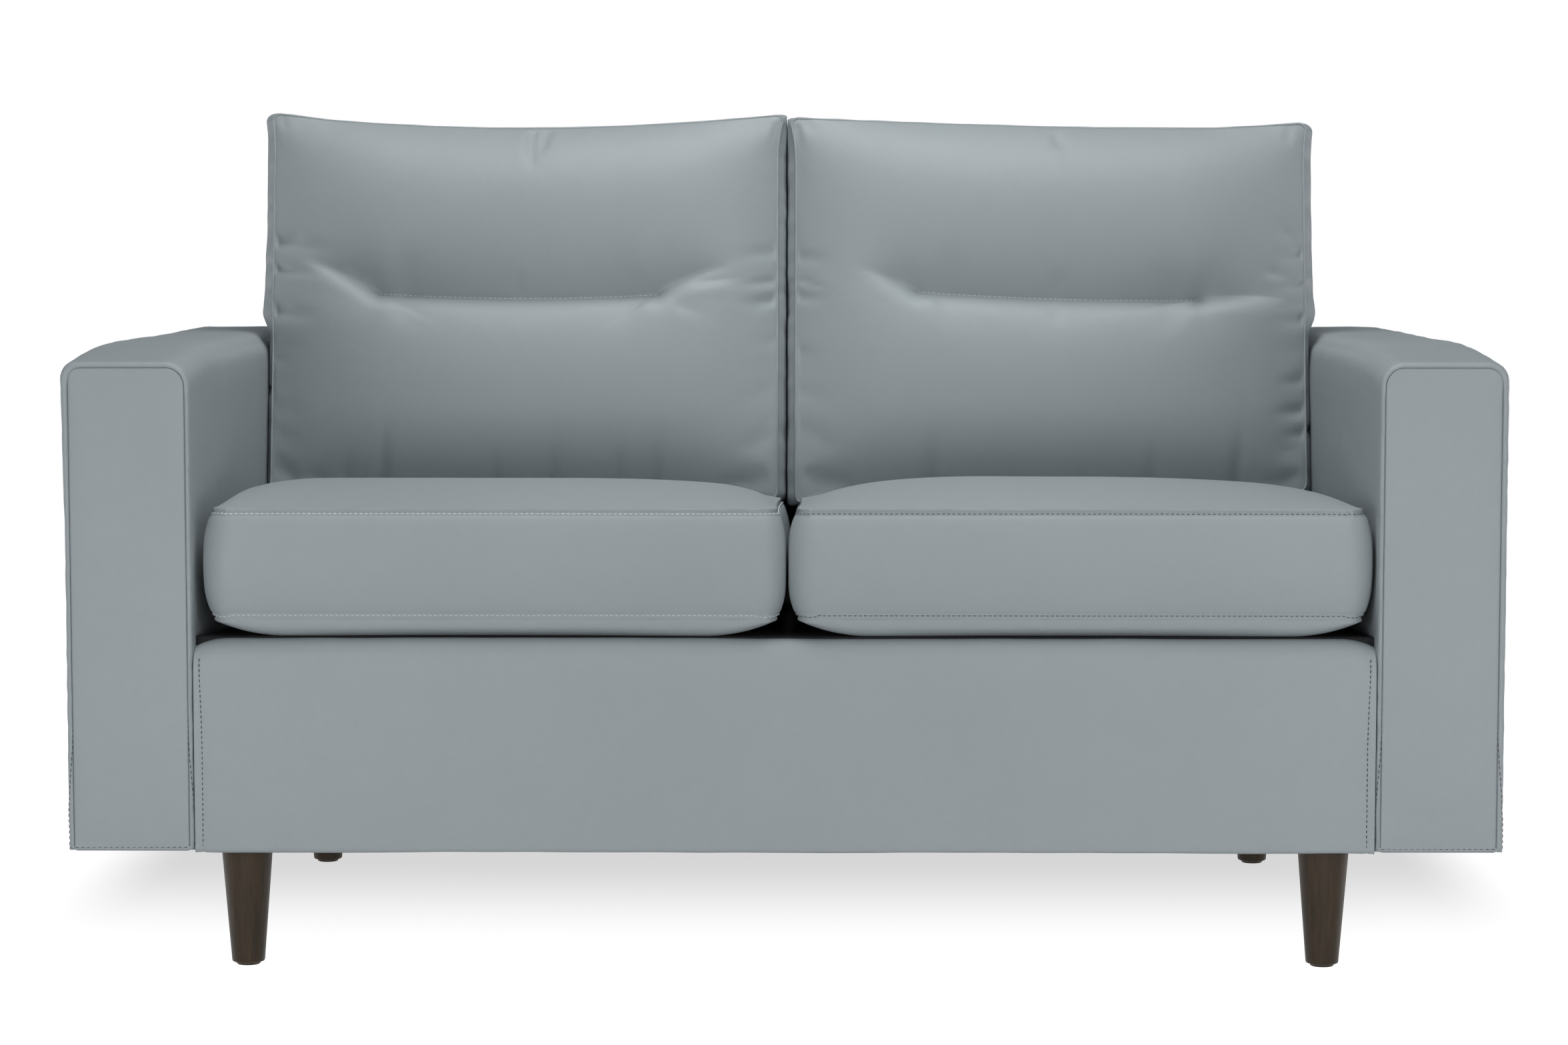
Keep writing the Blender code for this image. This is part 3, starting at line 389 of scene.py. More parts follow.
def settle(coarse, held_row, pressure, growth, cap):
    """Blow up a coarse form as cloth and return how far its front, rear and band moved.

    The seams are held, and so are the nodes of held_row on the front panel. The cloth is
    cut a little larger than the form, by growth, and pressed outwards. Each move is
    shortened by the hyperbolic tangent, so that none is longer than cap.
    """
    stiffness, damping, last_frame = 15.0, 8.0, 20
    rows, columns = len(coarse.ys), len(coarse.xs)
    points = coarse.points()
    mesh = bpy.data.meshes.new("settling")
    mesh.from_pydata(points.tolist(), [], coarse.quads().tolist())
    cloth_piece = bpy.data.objects.new("settling", mesh)
    bpy.context.scene.collection.objects.link(cloth_piece)
    row, column = rim(rows, columns)
    edge = row * columns + column
    held = np.concatenate([edge, edge + rows * columns, held_row])
    group = cloth_piece.vertex_groups.new(name="held")
    group.add([int(k) for k in held], 1.0, "REPLACE")
    cloth = cloth_piece.modifiers.new("Settle", "CLOTH")
    settings = cloth.settings
    settings.quality = 6
    settings.mass = 0.25
    settings.air_damping = 2.0
    settings.tension_stiffness = settings.compression_stiffness = stiffness
    settings.shear_stiffness = settings.bending_stiffness = stiffness / 3
    settings.tension_damping = settings.compression_damping = settings.shear_damping = damping
    settings.use_pressure = True
    settings.uniform_pressure_force = pressure
    settings.vertex_group_mass = "held"
    settings.shrink_min = settings.shrink_max = -growth
    settings.effector_weights.gravity = 0.0
    cloth.collision_settings.use_collision = False
    cloth.point_cache.frame_end = last_frame + 4
    scene = bpy.context.scene
    for moment in range(1, last_frame + 1):
        scene.frame_set(moment)
    settled = cloth_piece.evaluated_get(bpy.context.evaluated_depsgraph_get())
    found = np.empty(len(points) * 3, np.float32)
    settled.to_mesh().vertices.foreach_get("co", found)
    settled.to_mesh_clear()
    bpy.data.objects.remove(cloth_piece, do_unlink=True)
    scene.frame_set(1)
    move = found.reshape(-1, 3) - points
    length = np.linalg.norm(move, axis=1)[:, None] + 1e-9
    move = move * cap * np.tanh(length / cap) / length
    count = rows * columns
    front, rear = (move[k * count : (k + 1) * count].reshape(rows, columns, 3) for k in (0, 1))
    loops = move[2 * count :].reshape(-1, len(row), 3)
    rims = [rear[row, column][None], loops, front[row, column][None]]
    return front, rear, np.concatenate(rims)


# Stitching and seams


def walk(points, normals, pitch, closed):
    """Even places along a path, with the directions along it and out of the surface there."""
    if closed:
        points, normals = (np.concatenate([a, a[:1]]) for a in (points, normals))
    step = np.linalg.norm(np.diff(points, axis=0), axis=1)
    gone = np.concatenate([[0.0], np.cumsum(step)])
    count = max(2, int(round(gone[-1] / pitch)))
    at = (np.arange(count) + 0.5) * gone[-1] / count
    place, out, ahead, behind = (
        np.stack([np.interp(where, gone, source[:, axis]) for axis in range(3)], axis=1)
        for where, source in (
            (at, points),
            (at, normals),
            (np.minimum(at + pitch / 4, gone[-1]), points),
            (np.maximum(at - pitch / 4, 0), points),
        )
    )
    along = ahead - behind
    along /= np.linalg.norm(along, axis=1)[:, None]
    out -= along * (out * along).sum(axis=1)[:, None]
    return place, along, out / np.linalg.norm(out, axis=1)[:, None]


def usual_stitch(sizes):
    """Pitch, length and radius of the stitches of most seams."""
    return sizes.stitch_pitch, sizes.stitch_length, sizes.thread_radius


def put_stitches(name, rows, material, body, owner_slot, pitch, length, radius):
    """Rows of stitches. Each is a thread of six sides whose ends dip into the leather.

    A row is its path, the normals there and whether it is closed. The thread's centre
    runs straight through five stations, at which it is lifted and its girth changes.
    """
    station = np.array([-1.0, -0.8, 0.0, 0.8, 1.0])
    lift = np.array([-1.6, 0.1, 0.55, 0.1, -1.6])
    girth = np.array([0.5, 0.95, 1.0, 0.95, 0.5])
    turn = np.arange(6) * math.pi / 3
    points = []
    for path, normals, closed in rows:
        place, along, out = walk(path, normals, pitch, closed)
        across = np.cross(along, out)
        centre = (
            place[:, None, :]
            + along[:, None, :] * (station * length / 2)[None, :, None]
            + out[:, None, :] * (lift * radius)[None, :, None]
        )
        around = (
            across[:, None, :] * np.cos(turn)[None, :, None]
            + out[:, None, :] * np.sin(turn)[None, :, None]
        )
        thread = centre[:, :, None, :] + around[:, None] * (girth * radius)[None, :, None, None]
        points.append(thread.reshape(-1, 3))
    points = np.concatenate(points)
    ring = np.arange(30).reshape(5, 6)
    after = np.roll(ring, -1, axis=1)
    sleeve = np.stack([ring[:-1], ring[1:], after[1:], after[:-1]], axis=-1).reshape(-1, 4)
    caps = np.array([[0, 1, 2, 3], [3, 4, 5, 0], [27, 26, 25, 24], [24, 29, 28, 27]])
    one = np.concatenate([sleeve, caps])
    count = len(points) // 30
    quads = (one[None] + (np.arange(count) * 30)[:, None, None]).reshape(-1, 4)
    piece = put_mesh(name, points, quads, material, body)
    return piece


def put_bead(name, path, normals, material, body, radius, seed):
    """A closed raised seam: a tube of eight sides along a loop, uneven as sewn folds are."""
    turn = np.arange(8) * math.pi / 4
    along = np.roll(path, -1, axis=0) - np.roll(path, 1, axis=0)
    along /= np.linalg.norm(along, axis=1)[:, None]
    out = normals - along * (normals * along).sum(axis=1)[:, None]
    out /= np.linalg.norm(out, axis=1)[:, None]
    across = np.cross(along, out)
    count = len(path)
    uneven = radius * (1 + 0.25 * soft_noise(np.arange(count), np.zeros(count), 5.0, seed))
    ring = across[:, None] * np.cos(turn)[None, :, None]
    ring = ring + out[:, None] * np.sin(turn)[None, :, None]
    points = path[:, None] + ring * uneven[:, None, None]
    loops = np.arange(count * 8).reshape(count, 8)
    after, aside = np.roll(loops, -1, axis=0), np.roll(loops, -1, axis=1)
    both = np.roll(after, -1, axis=1)
    quads = np.stack([loops, after, both, aside], axis=-1).reshape(-1, 4)
    piece = put_mesh(name, points.reshape(-1, 3), quads, material, body)
    return piece


# Materials


def add_node(tree, kind, links=(), settings=(), **values):
    """A shader node with its plain values, its settings and the sockets that feed it."""
    node = tree.nodes.new(kind)
    for key, value in settings:
        setattr(node, key, value)
    for key, value in values.items():
        node.inputs[key.replace("_", " ")].default_value = value
    for socket, source in links:
        tree.links.new(source, node.inputs[socket])
    return node


def new_material(name, colour, roughness, metallic=0.0):
    """A material with its node tree and its shader, in a plain colour."""
    material = bpy.data.materials.new(name)
    material.use_nodes = True
    tree = material.node_tree
    shader = tree.nodes["Principled BSDF"]
    shader.inputs["Base Color"].default_value = (*colour, 1.0)
    shader.inputs["Roughness"].default_value = roughness
    shader.inputs["Metallic"].default_value = metallic
    return material, tree, shader


def object_place(tree, stretch=(1.0, 1.0, 1.0)):
    """Object coordinates, stretched."""
    source = [("Vector", add_node(tree, "ShaderNodeTexCoord").outputs["Object"])]
    return add_node(tree, "ShaderNodeMapping", source, Scale=stretch).outputs["Vector"]


def noise(tree, place, scale, detail=2.0, roughness=0.5):
    """A noise whose scale counts its cells in a metre."""
    values = {"Scale": scale, "Detail": detail, "Roughness": roughness}
    return add_node(tree, "ShaderNodeTexNoise", [("Vector", place)], **values).outputs["Fac"]


def spread(tree, source, low, high, from_low=0.0, from_high=1.0, curve="LINEAR"):
    """Map a value's range onto another."""
    values = {"From_Min": from_low, "From_Max": from_high, "To_Min": low, "To_Max": high}
    settings = [("interpolation_type", curve)]
    node = add_node(tree, "ShaderNodeMapRange", [("Value", source)], settings, **values)
    return node.outputs["Result"]


def combine(tree, operation, *sources):
    """The value that a sum such as a maximum or a product makes of its sources."""
    links = list(enumerate(sources))
    return add_node(tree, "ShaderNodeMath", links, [("operation", operation)]).outputs[0]


def vary_roughness(tree, shader, source, low, high):
    """Let the roughness run from low to high with a value from 0 to 1."""
    tree.links.new(spread(tree, source, low, high), shader.inputs["Roughness"])


def tint(tree, shader, colour, lightness):
    """Multiply the colour's lightness by a varying value."""
    node = add_node(tree, "ShaderNodeHueSaturation", [("Value", lightness)], Color=(*colour, 1.0))
    tree.links.new(node.outputs["Color"], shader.inputs["Base Color"])


def bump(tree, shader, heights):
    """Chain bumps, each a height with its strength and depth."""
    normal = None
    for height, strength, depth in heights:
        links = [("Height", height)] + ([("Normal", normal)] if normal else [])
        node = add_node(tree, "ShaderNodeBump", links, Strength=strength, Distance=depth)
        normal = node.outputs[0]
    tree.links.new(normal, shader.inputs["Normal"])


def leather_material(name, colour):
    """Faux leather: pebbled grain, faint mottling and a soft satin sheen."""
    material, tree, shader = new_material(name, colour, 0.55)
    place = object_place(tree)
    wander = [("Vector", noise(tree, place, 420.0, 2.0))]
    scaled = [("operation", "SCALE")]
    shift = add_node(tree, "ShaderNodeVectorMath", wander, scaled, Scale=0.0016)
    added = [("operation", "ADD")]
    moved = add_node(tree, "ShaderNodeVectorMath", [(0, place), (1, shift.outputs[0])], added)
    source, kind = [("Vector", moved.outputs[0])], [("feature", "DISTANCE_TO_EDGE")]
    cells = add_node(tree, "ShaderNodeTexVoronoi", source, kind, Scale=560.0)
    pebbles = spread(tree, cells.outputs["Distance"], 0.0, 1.0, 0.0, 0.22)
    tint(tree, shader, colour, spread(tree, noise(tree, place, 5.0, 3.0), 0.955, 1.045))
    vary_roughness(tree, shader, noise(tree, place, 40.0), 0.50, 0.62)
    dents = (noise(tree, place, 26.0, 3.0), 0.35, 0.0012)
    pores = (noise(tree, place, 1500.0), 0.20, 0.00015)
    bump(tree, shader, [dents, (pebbles, 0.30, 0.00025), pores])
    return material


def thread_material(name, colour):
    """Polyester thread with the fine ridges of its twist."""
    material, tree, shader = new_material(name, colour, 0.55)
    place = object_place(tree)
    tint(tree, shader, colour, spread(tree, noise(tree, place, 300.0), 0.8, 1.15))
    bump(tree, shader, [(noise(tree, place, 3000.0), 0.5, 0.0002)])
    return material


def timber_material(name, pale, dark, roughness, stretch, scale):
    """Wood with grain that runs along one direction, in two tones, and fine pores."""
    material, tree, shader = new_material(name, pale, roughness)
    shader.inputs["Specular IOR Level"].default_value = 0.30
    place = object_place(tree, stretch)
    grain = noise(tree, place, scale, 6.0, 0.65)
    tones = add_node(tree, "ShaderNodeValToRGB", [("Fac", grain)])
    ends = tones.color_ramp.elements
    for end, position, tone in ((ends[0], 0.35, dark), (ends[1], 0.68, pale)):
        end.position, end.color = position, (*tone, 1.0)
    tree.links.new(tones.outputs["Color"], shader.inputs["Base Color"])
    vary_roughness(tree, shader, grain, roughness + 0.10, roughness - 0.06)
    bump(tree, shader, [(grain, 0.35, 0.0005), (noise(tree, place, scale * 6, 3.0), 0.2, 0.0002)])
    return material


def cloth_material(name, colour, threads_per_metre, depth):
    """Woven cloth: two crossing wave patterns, rough and dull."""
    material, tree, shader = new_material(name, colour, 0.9)
    place = object_place(tree)
    values = {"Scale": threads_per_metre / 20.0, "Distortion": 0.6, "Detail": 1.0}
    waves = []
    for axis in ("X", "Y"):
        settings = [("bands_direction", axis)]
        wave = add_node(tree, "ShaderNodeTexWave", [("Vector", place)], settings, **values)
        waves.append(wave.outputs["Fac"])
    weave = combine(tree, "MAXIMUM", *waves)
    tint(tree, shader, colour, spread(tree, weave, 0.75, 1.15))
    bump(tree, shader, [(weave, 0.6, depth), (noise(tree, place, 900.0), 0.3, depth / 2)])
    return material


def steel_material(name, colour):
    """Drawn steel wire and bolts, brushed and a little dull."""
    material, tree, shader = new_material(name, colour, 0.38, 1.0)
    place = object_place(tree)
    vary_roughness(tree, shader, noise(tree, place, 120.0, 4.0), 0.28, 0.5)
    bump(tree, shader, [(noise(tree, place, 700.0), 0.15, 0.0001)])
    return material


def porous_material(name, colour, scale, depth):
    """Foam or felt: dull, finely pitted and a little uneven in tone."""
    material, tree, shader = new_material(name, colour, 0.95)
    place = object_place(tree)
    tint(tree, shader, colour, spread(tree, noise(tree, place, 14.0, 4.0), 0.88, 1.08))
    bump(tree, shader, [(noise(tree, place, scale, 4.0, 0.7), 0.8, depth)])
    return material


def plastic_material(name, colour):
    """Moulded zip teeth and woven tape: dark, a little uneven and half glossy."""
    material, tree, shader = new_material(name, colour, 0.42)
    place = object_place(tree)
    vary_roughness(tree, shader, noise(tree, place, 250.0, 3.0), 0.36, 0.5)
    bump(tree, shader, [(noise(tree, place, 800.0), 0.2, 0.0001)])
    return material


def finish(name):
    """The material of that name, made the first time that it is asked for."""
    found = bpy.data.materials.get(name)
    if found:
        return found
    colours = bpy.context.scene.sofa_colours

    def timber(pale, darkness, roughness, stretch, scale):
        """Wood whose darker tone is its paler one times the darkness."""
        dark = [part * darkness for part in pale]
        return timber_material(name, pale, dark, roughness, stretch, scale)

    makers = {
        "faux_leather": lambda: leather_material(name, colours.leather),
        "light_thread": lambda: thread_material(name, colours.light_thread),
        "dark_thread": lambda: thread_material(name, colours.dark_thread),
        "stained_wood": lambda: timber(colours.leg_stain, 0.45, 0.44, (1.0, 1.0, 0.06), 190.0),
        "frame_timber": lambda: timber(colours.timber, 0.62, 0.68, (0.05, 1.0, 1.0), 90.0),
        "deck_cloth": lambda: cloth_material(name, colours.lining, 900.0, 0.0004),
        "webbing": lambda: cloth_material(name, colours.webbing, 500.0, 0.0006),
        "foam": lambda: porous_material(name, colours.foam, 900.0, 0.0012),
        "felt": lambda: porous_material(name, colours.felt, 420.0, 0.0018),
        "steel": lambda: steel_material(name, colours.steel),
        "zip_plastic": lambda: plastic_material(name, colours.zip_black),
    }
    return makers[name]()


def colour_property(name, description, default):
    """A colour that a user can change."""
    values = {"default": default, "size": 3, "subtype": "COLOR", "min": 0.0, "max": 1.0}
    return bpy.props.FloatVectorProperty(name=name, description=description, **values)


def length_property(name, description, default):
    """A length that a user can change."""
    return bpy.props.FloatProperty(
        name=name, description=description, default=default, min=0.0, soft_max=1.0, unit="LENGTH"
    )


def power_property(name, description, default):
    """The power of a light that a user can change."""
    return bpy.props.FloatProperty(
        name=name, description=description, default=default, min=0.0, unit="POWER"
    )


class SofaColours(bpy.types.PropertyGroup):
    """Colours of the sofa's materials"""

    leather: colour_property("Leather", "Grey-blue faux leather", (0.315, 0.352, 0.368))
    light_thread: colour_property(
        "Light thread", "Stitches of the left seat and the channels", (0.68, 0.70, 0.70)
    )
    dark_thread: colour_property("Dark thread", "Stitches of the other seams", (0.07, 0.08, 0.09))
    leg_stain: colour_property("Leg stain", "Espresso stain of the legs", (0.046, 0.027, 0.011))
    timber: colour_property("Frame timber", "Unfinished frame timber", (0.56, 0.40, 0.24))
    lining: colour_property("Lining", "Black deck and dust cloth", (0.012, 0.012, 0.014))
    webbing: colour_property("Webbing", "Elastic webbing of the back", (0.30, 0.26, 0.20))
    foam: colour_property("Foam", "Cushion foam", (0.78, 0.72, 0.55))
    felt: colour_property("Felt", "Insulator felt", (0.22, 0.21, 0.20))
    steel: colour_property("Steel", "Springs and bolts", (0.45, 0.45, 0.46))
    zip_black: colour_property("Zip", "Zip tape and slider", (0.02, 0.02, 0.02))


class SofaSizes(bpy.types.PropertyGroup):
    """Sizes of the stitching and of the cushions"""

    stitch_pitch: length_property("Stitch pitch", "From one stitch to the next", 0.0061)
    stitch_length: length_property("Stitch length", "Visible length of a stitch", 0.0044)
    thread_radius: length_property("Thread radius", "Radius of the thread", 0.00050)
    seam_offset: length_property("Topstitch offset", "From a seam to its topstitch", 0.0068)
    seat_crown: length_property("Seat crown", "Rise of a seat cushion's top", 0.029)
    seat_swell: length_property("Seat swell", "Swell of a seat cushion's underside", 0.018)
    seat_boxing: length_property("Seat boxing", "Width of the seat boxing", 0.1175)
    back_crown: length_property("Back crown", "Rise of a back cushion's front", 0.058)
    back_swell: length_property("Back swell", "Swell of a back cushion's rear", 0.016)
    back_boxing: length_property("Back boxing", "Width of the back boxing", 0.132)
    channel_depth: length_property("Channel depth", "Depth of the sewn channel", 0.036)
    bead_radius: length_property("Seam radius", "Radius of the raised seam", 0.0013)


class SofaStudio(bpy.types.PropertyGroup):
    """Powers of the lights, the even light and the lens"""

    top_power: power_property("Top power", "Power of the overhead light", 39.5)
    front_power: power_property("Front power", "Power of the low wide front light", 16.8)
    side_power: power_property("Side power", "Power of each small fill light", 2.8)
    near_power: power_property("Near power", "Power of the small light over the seats", 7.0)
    low_power: power_property("Low power", "Power of each low corner light", 4.9)
    round_power: power_property("Round power", "Power of each side light", 16.0)
    ambient: bpy.props.FloatProperty(
        name="Ambient", description="Strength of the even light", default=0.13, min=0.0
    )
    ambient_tint: colour_property("Ambient tint", "Colour of the even light", (0.84, 0.91, 1.0))
    lens: bpy.props.FloatProperty(
        name="Lens", description="Focal length in millimetres", default=85.0, min=10.0
    )


# Arms


def arm_top(y, side):
    """Height of an arm's top: it climbs as a parabola over its front, then runs level."""
    climb, run = 0.0135, 0.22 if side < 0 else 0.29
    share = np.clip((y - front_y) / run, 0, 1)
    return arm_height + climb * (1 - (1 - share) ** 2)


def make_arm(name, side, sizes):
    """The padded cover of an arm, its topstitching and its front panel."""
    low, high = node_box(f"arm_cover_{name}")
    middle, half = (low[0] + high[0]) / 2, (high[0] - low[0]) / 2
    floor, start, stop = low[2] - 0.0036, front_y + 0.0012, high[1]
    depth = stop - start
    # The outline is drawn for the arm's front height, and stretched as the top climbs.
    tall = arm_height - floor
    radii = arm_radii(side, 0.0185 if side < 0 else 0.0215, 0.026)
    # Round of the front edge, run and setback of the strip turned into its seam, round of
    # the rear edge, and the top of the inner board that the skin covers.
    roll, strip, setback, rear_roll, board_top = 0.0052, 0.0028, 0.0036, 0.003, 0.6160

    def lay(points):
        """Own directions: across to the right, up, and forwards out of the arm's front."""
        x, up, out = split(points)
        return join(middle + x, floor + up, -out)[..., [0, 2, 1]]

    def lift(up, y):
        """Stretch heights in the ratio of the arm's height there to its height in front."""
        return up * (arm_top(y, side) - floor) / tall

    def soft(x, up, y):
        """How far the padded cover stands out or in.

        It is uneven in two sizes, puckered behind its front edge, and softened at its inner
        top corner by a power of the closeness to it, which an S-curve brings in to the rear.
        """
        puckers = bell(y - start, 0.011) * soft_noise(x * 3 + up, up - x, 0.0085, 11)
        rest = 0.0009 * soft_noise(y + x, up, 0.11, 12)
        rest = rest + 0.0005 * soft_noise(y, up + x, 0.03, 13)
        corner = np.maximum(half + side * x, tall - up)
        soften = 0.0055 * ease((y - start) / 0.30) * np.clip(1 - corner / 0.046, 0, 1) ** 1.5
        return rest * ease((y - start) / 0.05) + 0.0005 * puckers - soften

    def panel(x, up, front):
        """Flat ends of the arm, a little smaller than its outline."""
        y = start + setback if front > 0 else stop - 0.0004
        grow = 1 - (roll + 0.0006 if front > 0 else rear_roll) / half
        return join(x * grow, lift(up * grow, y), -y)

    def ring(x, up, out_x, out_y, share):
        """Ring sections: the front edge rolls over a quarter circle and turns into the seam."""
        gone, turned = (1 - share) / 2, strip / depth
        if gone < turned:
            y = start + setback * (1 - gone / turned)
            puff = -roll - 0.0005
        else:
            y = start + (gone - turned) / (1 - turned) * depth
            puff = soft(x, up, y)
            puff = puff - edge_fall(y - start, roll) - edge_fall(stop - y, rear_roll)
            puff = puff - 0.0007 * bell(y - start - 0.0039, 0.0011)
            # The outer face is fuller, and the inner one falls back behind its front.
            fuller = 0.0008 + 0.0026 * ease((up - 0.30) / 0.25) if side < 0 else 0.0020
            hollow = 0.0030 * ease((y - start - 0.05) / 0.40)
            puff = puff + fuller * np.clip(out_x * side, 0, 1)
            puff = puff - hollow * np.clip(-out_x * side, 0, 1)
            # Beside the inner board the skin stays clear of the timber.
            least = -0.0037 - 0.020 * ease((floor + lift(up, y) - board_top) / 0.020)
            puff = np.where(out_x * side < 0, np.maximum(puff, least), puff)
        return join(x + out_x * puff, lift(up + out_y * puff, y), -y)

    xs = places(-half, half, 0.007, [(-half, 0.0028, 0.03), (half, 0.0028, 0.03)])
    ups = places(0, tall, 0.011, [(0, 0.0008, 0.02), (tall, 0.0028, 0.04)])
    behind = places(strip, depth, 0.012, [(strip, 0.0004, 0.012), (depth, 0.0007, 0.02)])
    shares = 1 - 2 * np.concatenate([[0.0, strip / 2], behind])[::-1] / depth
    form = Form(xs, ups, shares, radii, panel, ring, lay)
    leather = finish("faux_leather")
    wrap = put_mesh(f"arm_wrap_{name}", form.points(), form.quads(), leather, "frame")
    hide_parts(f"arm_cover_{name}", f"arm_top_pad_{name}")

    loop, normals = form.on_band(0.0041 + sizes.seam_offset)
    seen = loop[:, 2] > floor + 0.004
    first = int(np.argmax(~seen))
    loop, normals, seen = (np.roll(a, -first, axis=0) for a in (loop, normals, seen))
    rows, thread = [(loop[seen], normals[seen], False)], finish("dark_thread")
    put_stitches(f"arm_stitches_{name}", rows, thread, "frame", "cover", *usual_stitch(sizes))
    make_arm_facing(name, side, middle, half, floor)


def make_arm_facing(name, side, middle, half, floor):
    """The flat front panel of an arm, its edge turned down into the seam."""
    # Gap to the arm's outline, depth of the panel's rear, and round of its edge.
    inset, setback, roll = 0.0058, 0.0072, 0.0018
    radii = arm_radii(side, 0.0150 if side < 0 else 0.018, 0.021)
    half_x, low, high = half - inset, 0.0008, float(arm_top(front_y, side)) - floor - inset

    def lay(points):
        """Own directions: across to the right, up, and forwards."""
        x, up, out = split(points)
        return join(middle + x, -out, floor + up)

    def panel(x, up, front):
        """A flat rear, and a front that is full by one minus the share across to the sixth.

        The fullness goes to nothing by a cube towards the foot and the top.
        """
        if front < 0:
            return join(x, up, -front_y - setback)
        gap = np.minimum(np.minimum(half_x - np.abs(x), high - up), up - low)
        full = 0.0016 * (1 - (x / half_x) ** 6)
        for away, reach in ((up, 0.09), (high - up, 0.05)):
            full = full * (1 - np.clip(1 - away / reach, 0, 1) ** 3)
        wave = 0.0004 * soft_noise(x, up, 0.07, 21) * ease(gap / 0.02)
        out = -front_y - 0.0012 - edge_fall(gap, roll) + full + wave
        return join(x, up, out)

    def ring(x, up, out_x, out_y, share):
        """A straight wall round the panel, 4.2 mm deep."""
        return join(x, up, -front_y - setback + (share + 1) / 2 * 0.0042)

    xs = places(-half_x, half_x, 0.006, [(-half_x, 0.0004, 0.008), (half_x, 0.0004, 0.008)])
    ups = places(low, high, 0.008, [(low, 0.0004, 0.008), (high, 0.0004, 0.008)])
    form = Form(xs, ups, np.linspace(-1, 1, 4), radii, panel, ring, lay)
    leather = finish("faux_leather")
    facing = put_mesh(f"arm_facing_{name}", form.points(), form.quads(), leather, "frame")
    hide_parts(f"arm_front_cover_{name}")


# Base and back


def put_across(name, low, high, radii, outline, wave, material):
    """A closed form carried across the sofa, from a section of setbacks and heights.

    outline moves the section's points, given as y, z and x. wave is how far its skin
    stands out or in.
    """

    def lay(points):
        """Own directions: setback, height, and across to the right."""
        y, z, x = split(points)
        return join(x, *outline(y, z, x))

    def panel(y, z, front):
        """Flat ends at the right and the left."""
        return join(y, z, high[0] if front > 0 else low[0])

    def ring(y, z, out_y, out_z, share):
        """The section at a share of the way across, moved out by its wave."""
        x = (low[0] + high[0]) / 2 + share * (high[0] - low[0]) / 2
        puff = wave(x, y, z)
        return join(y + out_y * puff, z + out_z * puff, x)

    ys = places(low[1], high[1], 0.012, [(low[1], 0.0022, 0.02), (high[1], 0.0022, 0.02)])
    zs = places(low[2], high[2], 0.012, [(low[2], 0.0010, 0.02), (high[2], 0.0022, 0.04)])
    half = (high[0] - low[0]) / 2
    xs = places(-half, half, 0.014, [(-half, 0.0012, 0.04), (half, 0.0012, 0.04)]) / half
    form = Form(ys, zs, xs, radii, panel, ring, lay)
    return put_mesh(name, form.points(), form.quads(), material, "frame")


def make_base_front(sizes):
    """The padded front of the base, with a stitched seam near each end."""
    low, high = node_box("base_front_cover")
    # The skin's round lower edge hangs a little below the solid.
    low[2] -= 0.0062
    half = high[0]

    def seam_place(z):
        """How far from the middle the end seams run: an S-curve further in near the floor."""
        return half - 0.0062 - 0.0022 * ease((0.34 - z) / 0.10)

    def outline(y, z, x):
        """The top droops by a squared share within 34 mm of each end.

        The front's highest 38 mm lean back by a squared share too.
        """
        gone = np.clip((half - np.abs(x)) / 0.034, 0, 1)
        droop = 0.0088 * (1 - gone) ** 2
        share = (high[1] - y) / (high[1] - low[1])
        setback = 0.0052 * np.clip(1 - (high[2] - z) / 0.038, 0, 1) ** 2
        return y + share * setback, z - droop * ease((z - 0.26) / 0.09)

    def wave(x, y, z):
        """A groove along each seam, and a faint unevenness that fades at the ends."""
        groove = -0.0008 * bell(np.abs(x) - seam_place(z), 0.0012) * ease((0.352 - z) / 0.01)
        rest = 0.0008 * soft_noise(x, z, 0.16, 32) + 0.0003 * soft_noise(x, z, 0.045, 33)
        return groove + rest * ease((half - np.abs(x)) / 0.03) - 0.0008

    # Rounds of the section's front (-1) and rear (1) edges, at the top (1) and the bottom (-1).
    radii = {(-1, 1): 0.0195, (1, 1): 0.002, (-1, -1): 0.0050, (1, -1): 0.001}
    leather = finish("faux_leather")
    piece = put_across("base_front_panel", low, high, radii, outline, wave, leather)
    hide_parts("base_front_cover", "base_front_pad")

    # Both rows run down the front, 1.1 mm behind the solid's, and round its lower edge.
    count, bottom_round = 60, 0.012
    rows, thread = [], finish("dark_thread")
    for side in (-1, 1):
        z = np.linspace(0.340, low[2] + 0.002, count)
        short = np.clip(bottom_round - (z - low[2]), 0, bottom_round)
        y = low[1] + 0.0131 - np.sqrt(bottom_round**2 - short**2)
        path = join(side * seam_place(z), y, z)
        rows.append((path, np.tile([0.0, -1.0, 0.0], (count, 1)), False))
    measures = (*base_stitch, sizes.thread_radius)
    put_stitches("base_front_stitches", rows, thread, "frame", "cover", *measures)


def make_back_inner_cover():
    """The leaning front of the back frame, padded."""
    low, high = node_box("back_inner_cover")
    lean = math.tan(back_lean)

    def outline(y, z, x):
        """The front face leans back by 11 degrees and the rear face stands upright."""
        share = (y - low[1]) / (high[1] - low[1])
        face = low[1] + lean * (z - low[2])
        return face + share * (high[1] - face), z

    def wave(x, y, z):
        """A faint unevenness, from 0.2 to 2.2 mm inside the solid."""
        return 0.001 * soft_noise(x, z, 0.13, 41) - 0.0012

    radii = {(-1, 1): 0.012, (1, 1): 0.003, (-1, -1): 0.003, (1, -1): 0.002}
    leather = finish("faux_leather")
    piece = put_across("back_inner_panel", low, high, radii, outline, wave, leather)
    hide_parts("back_inner_cover", "back_pad")


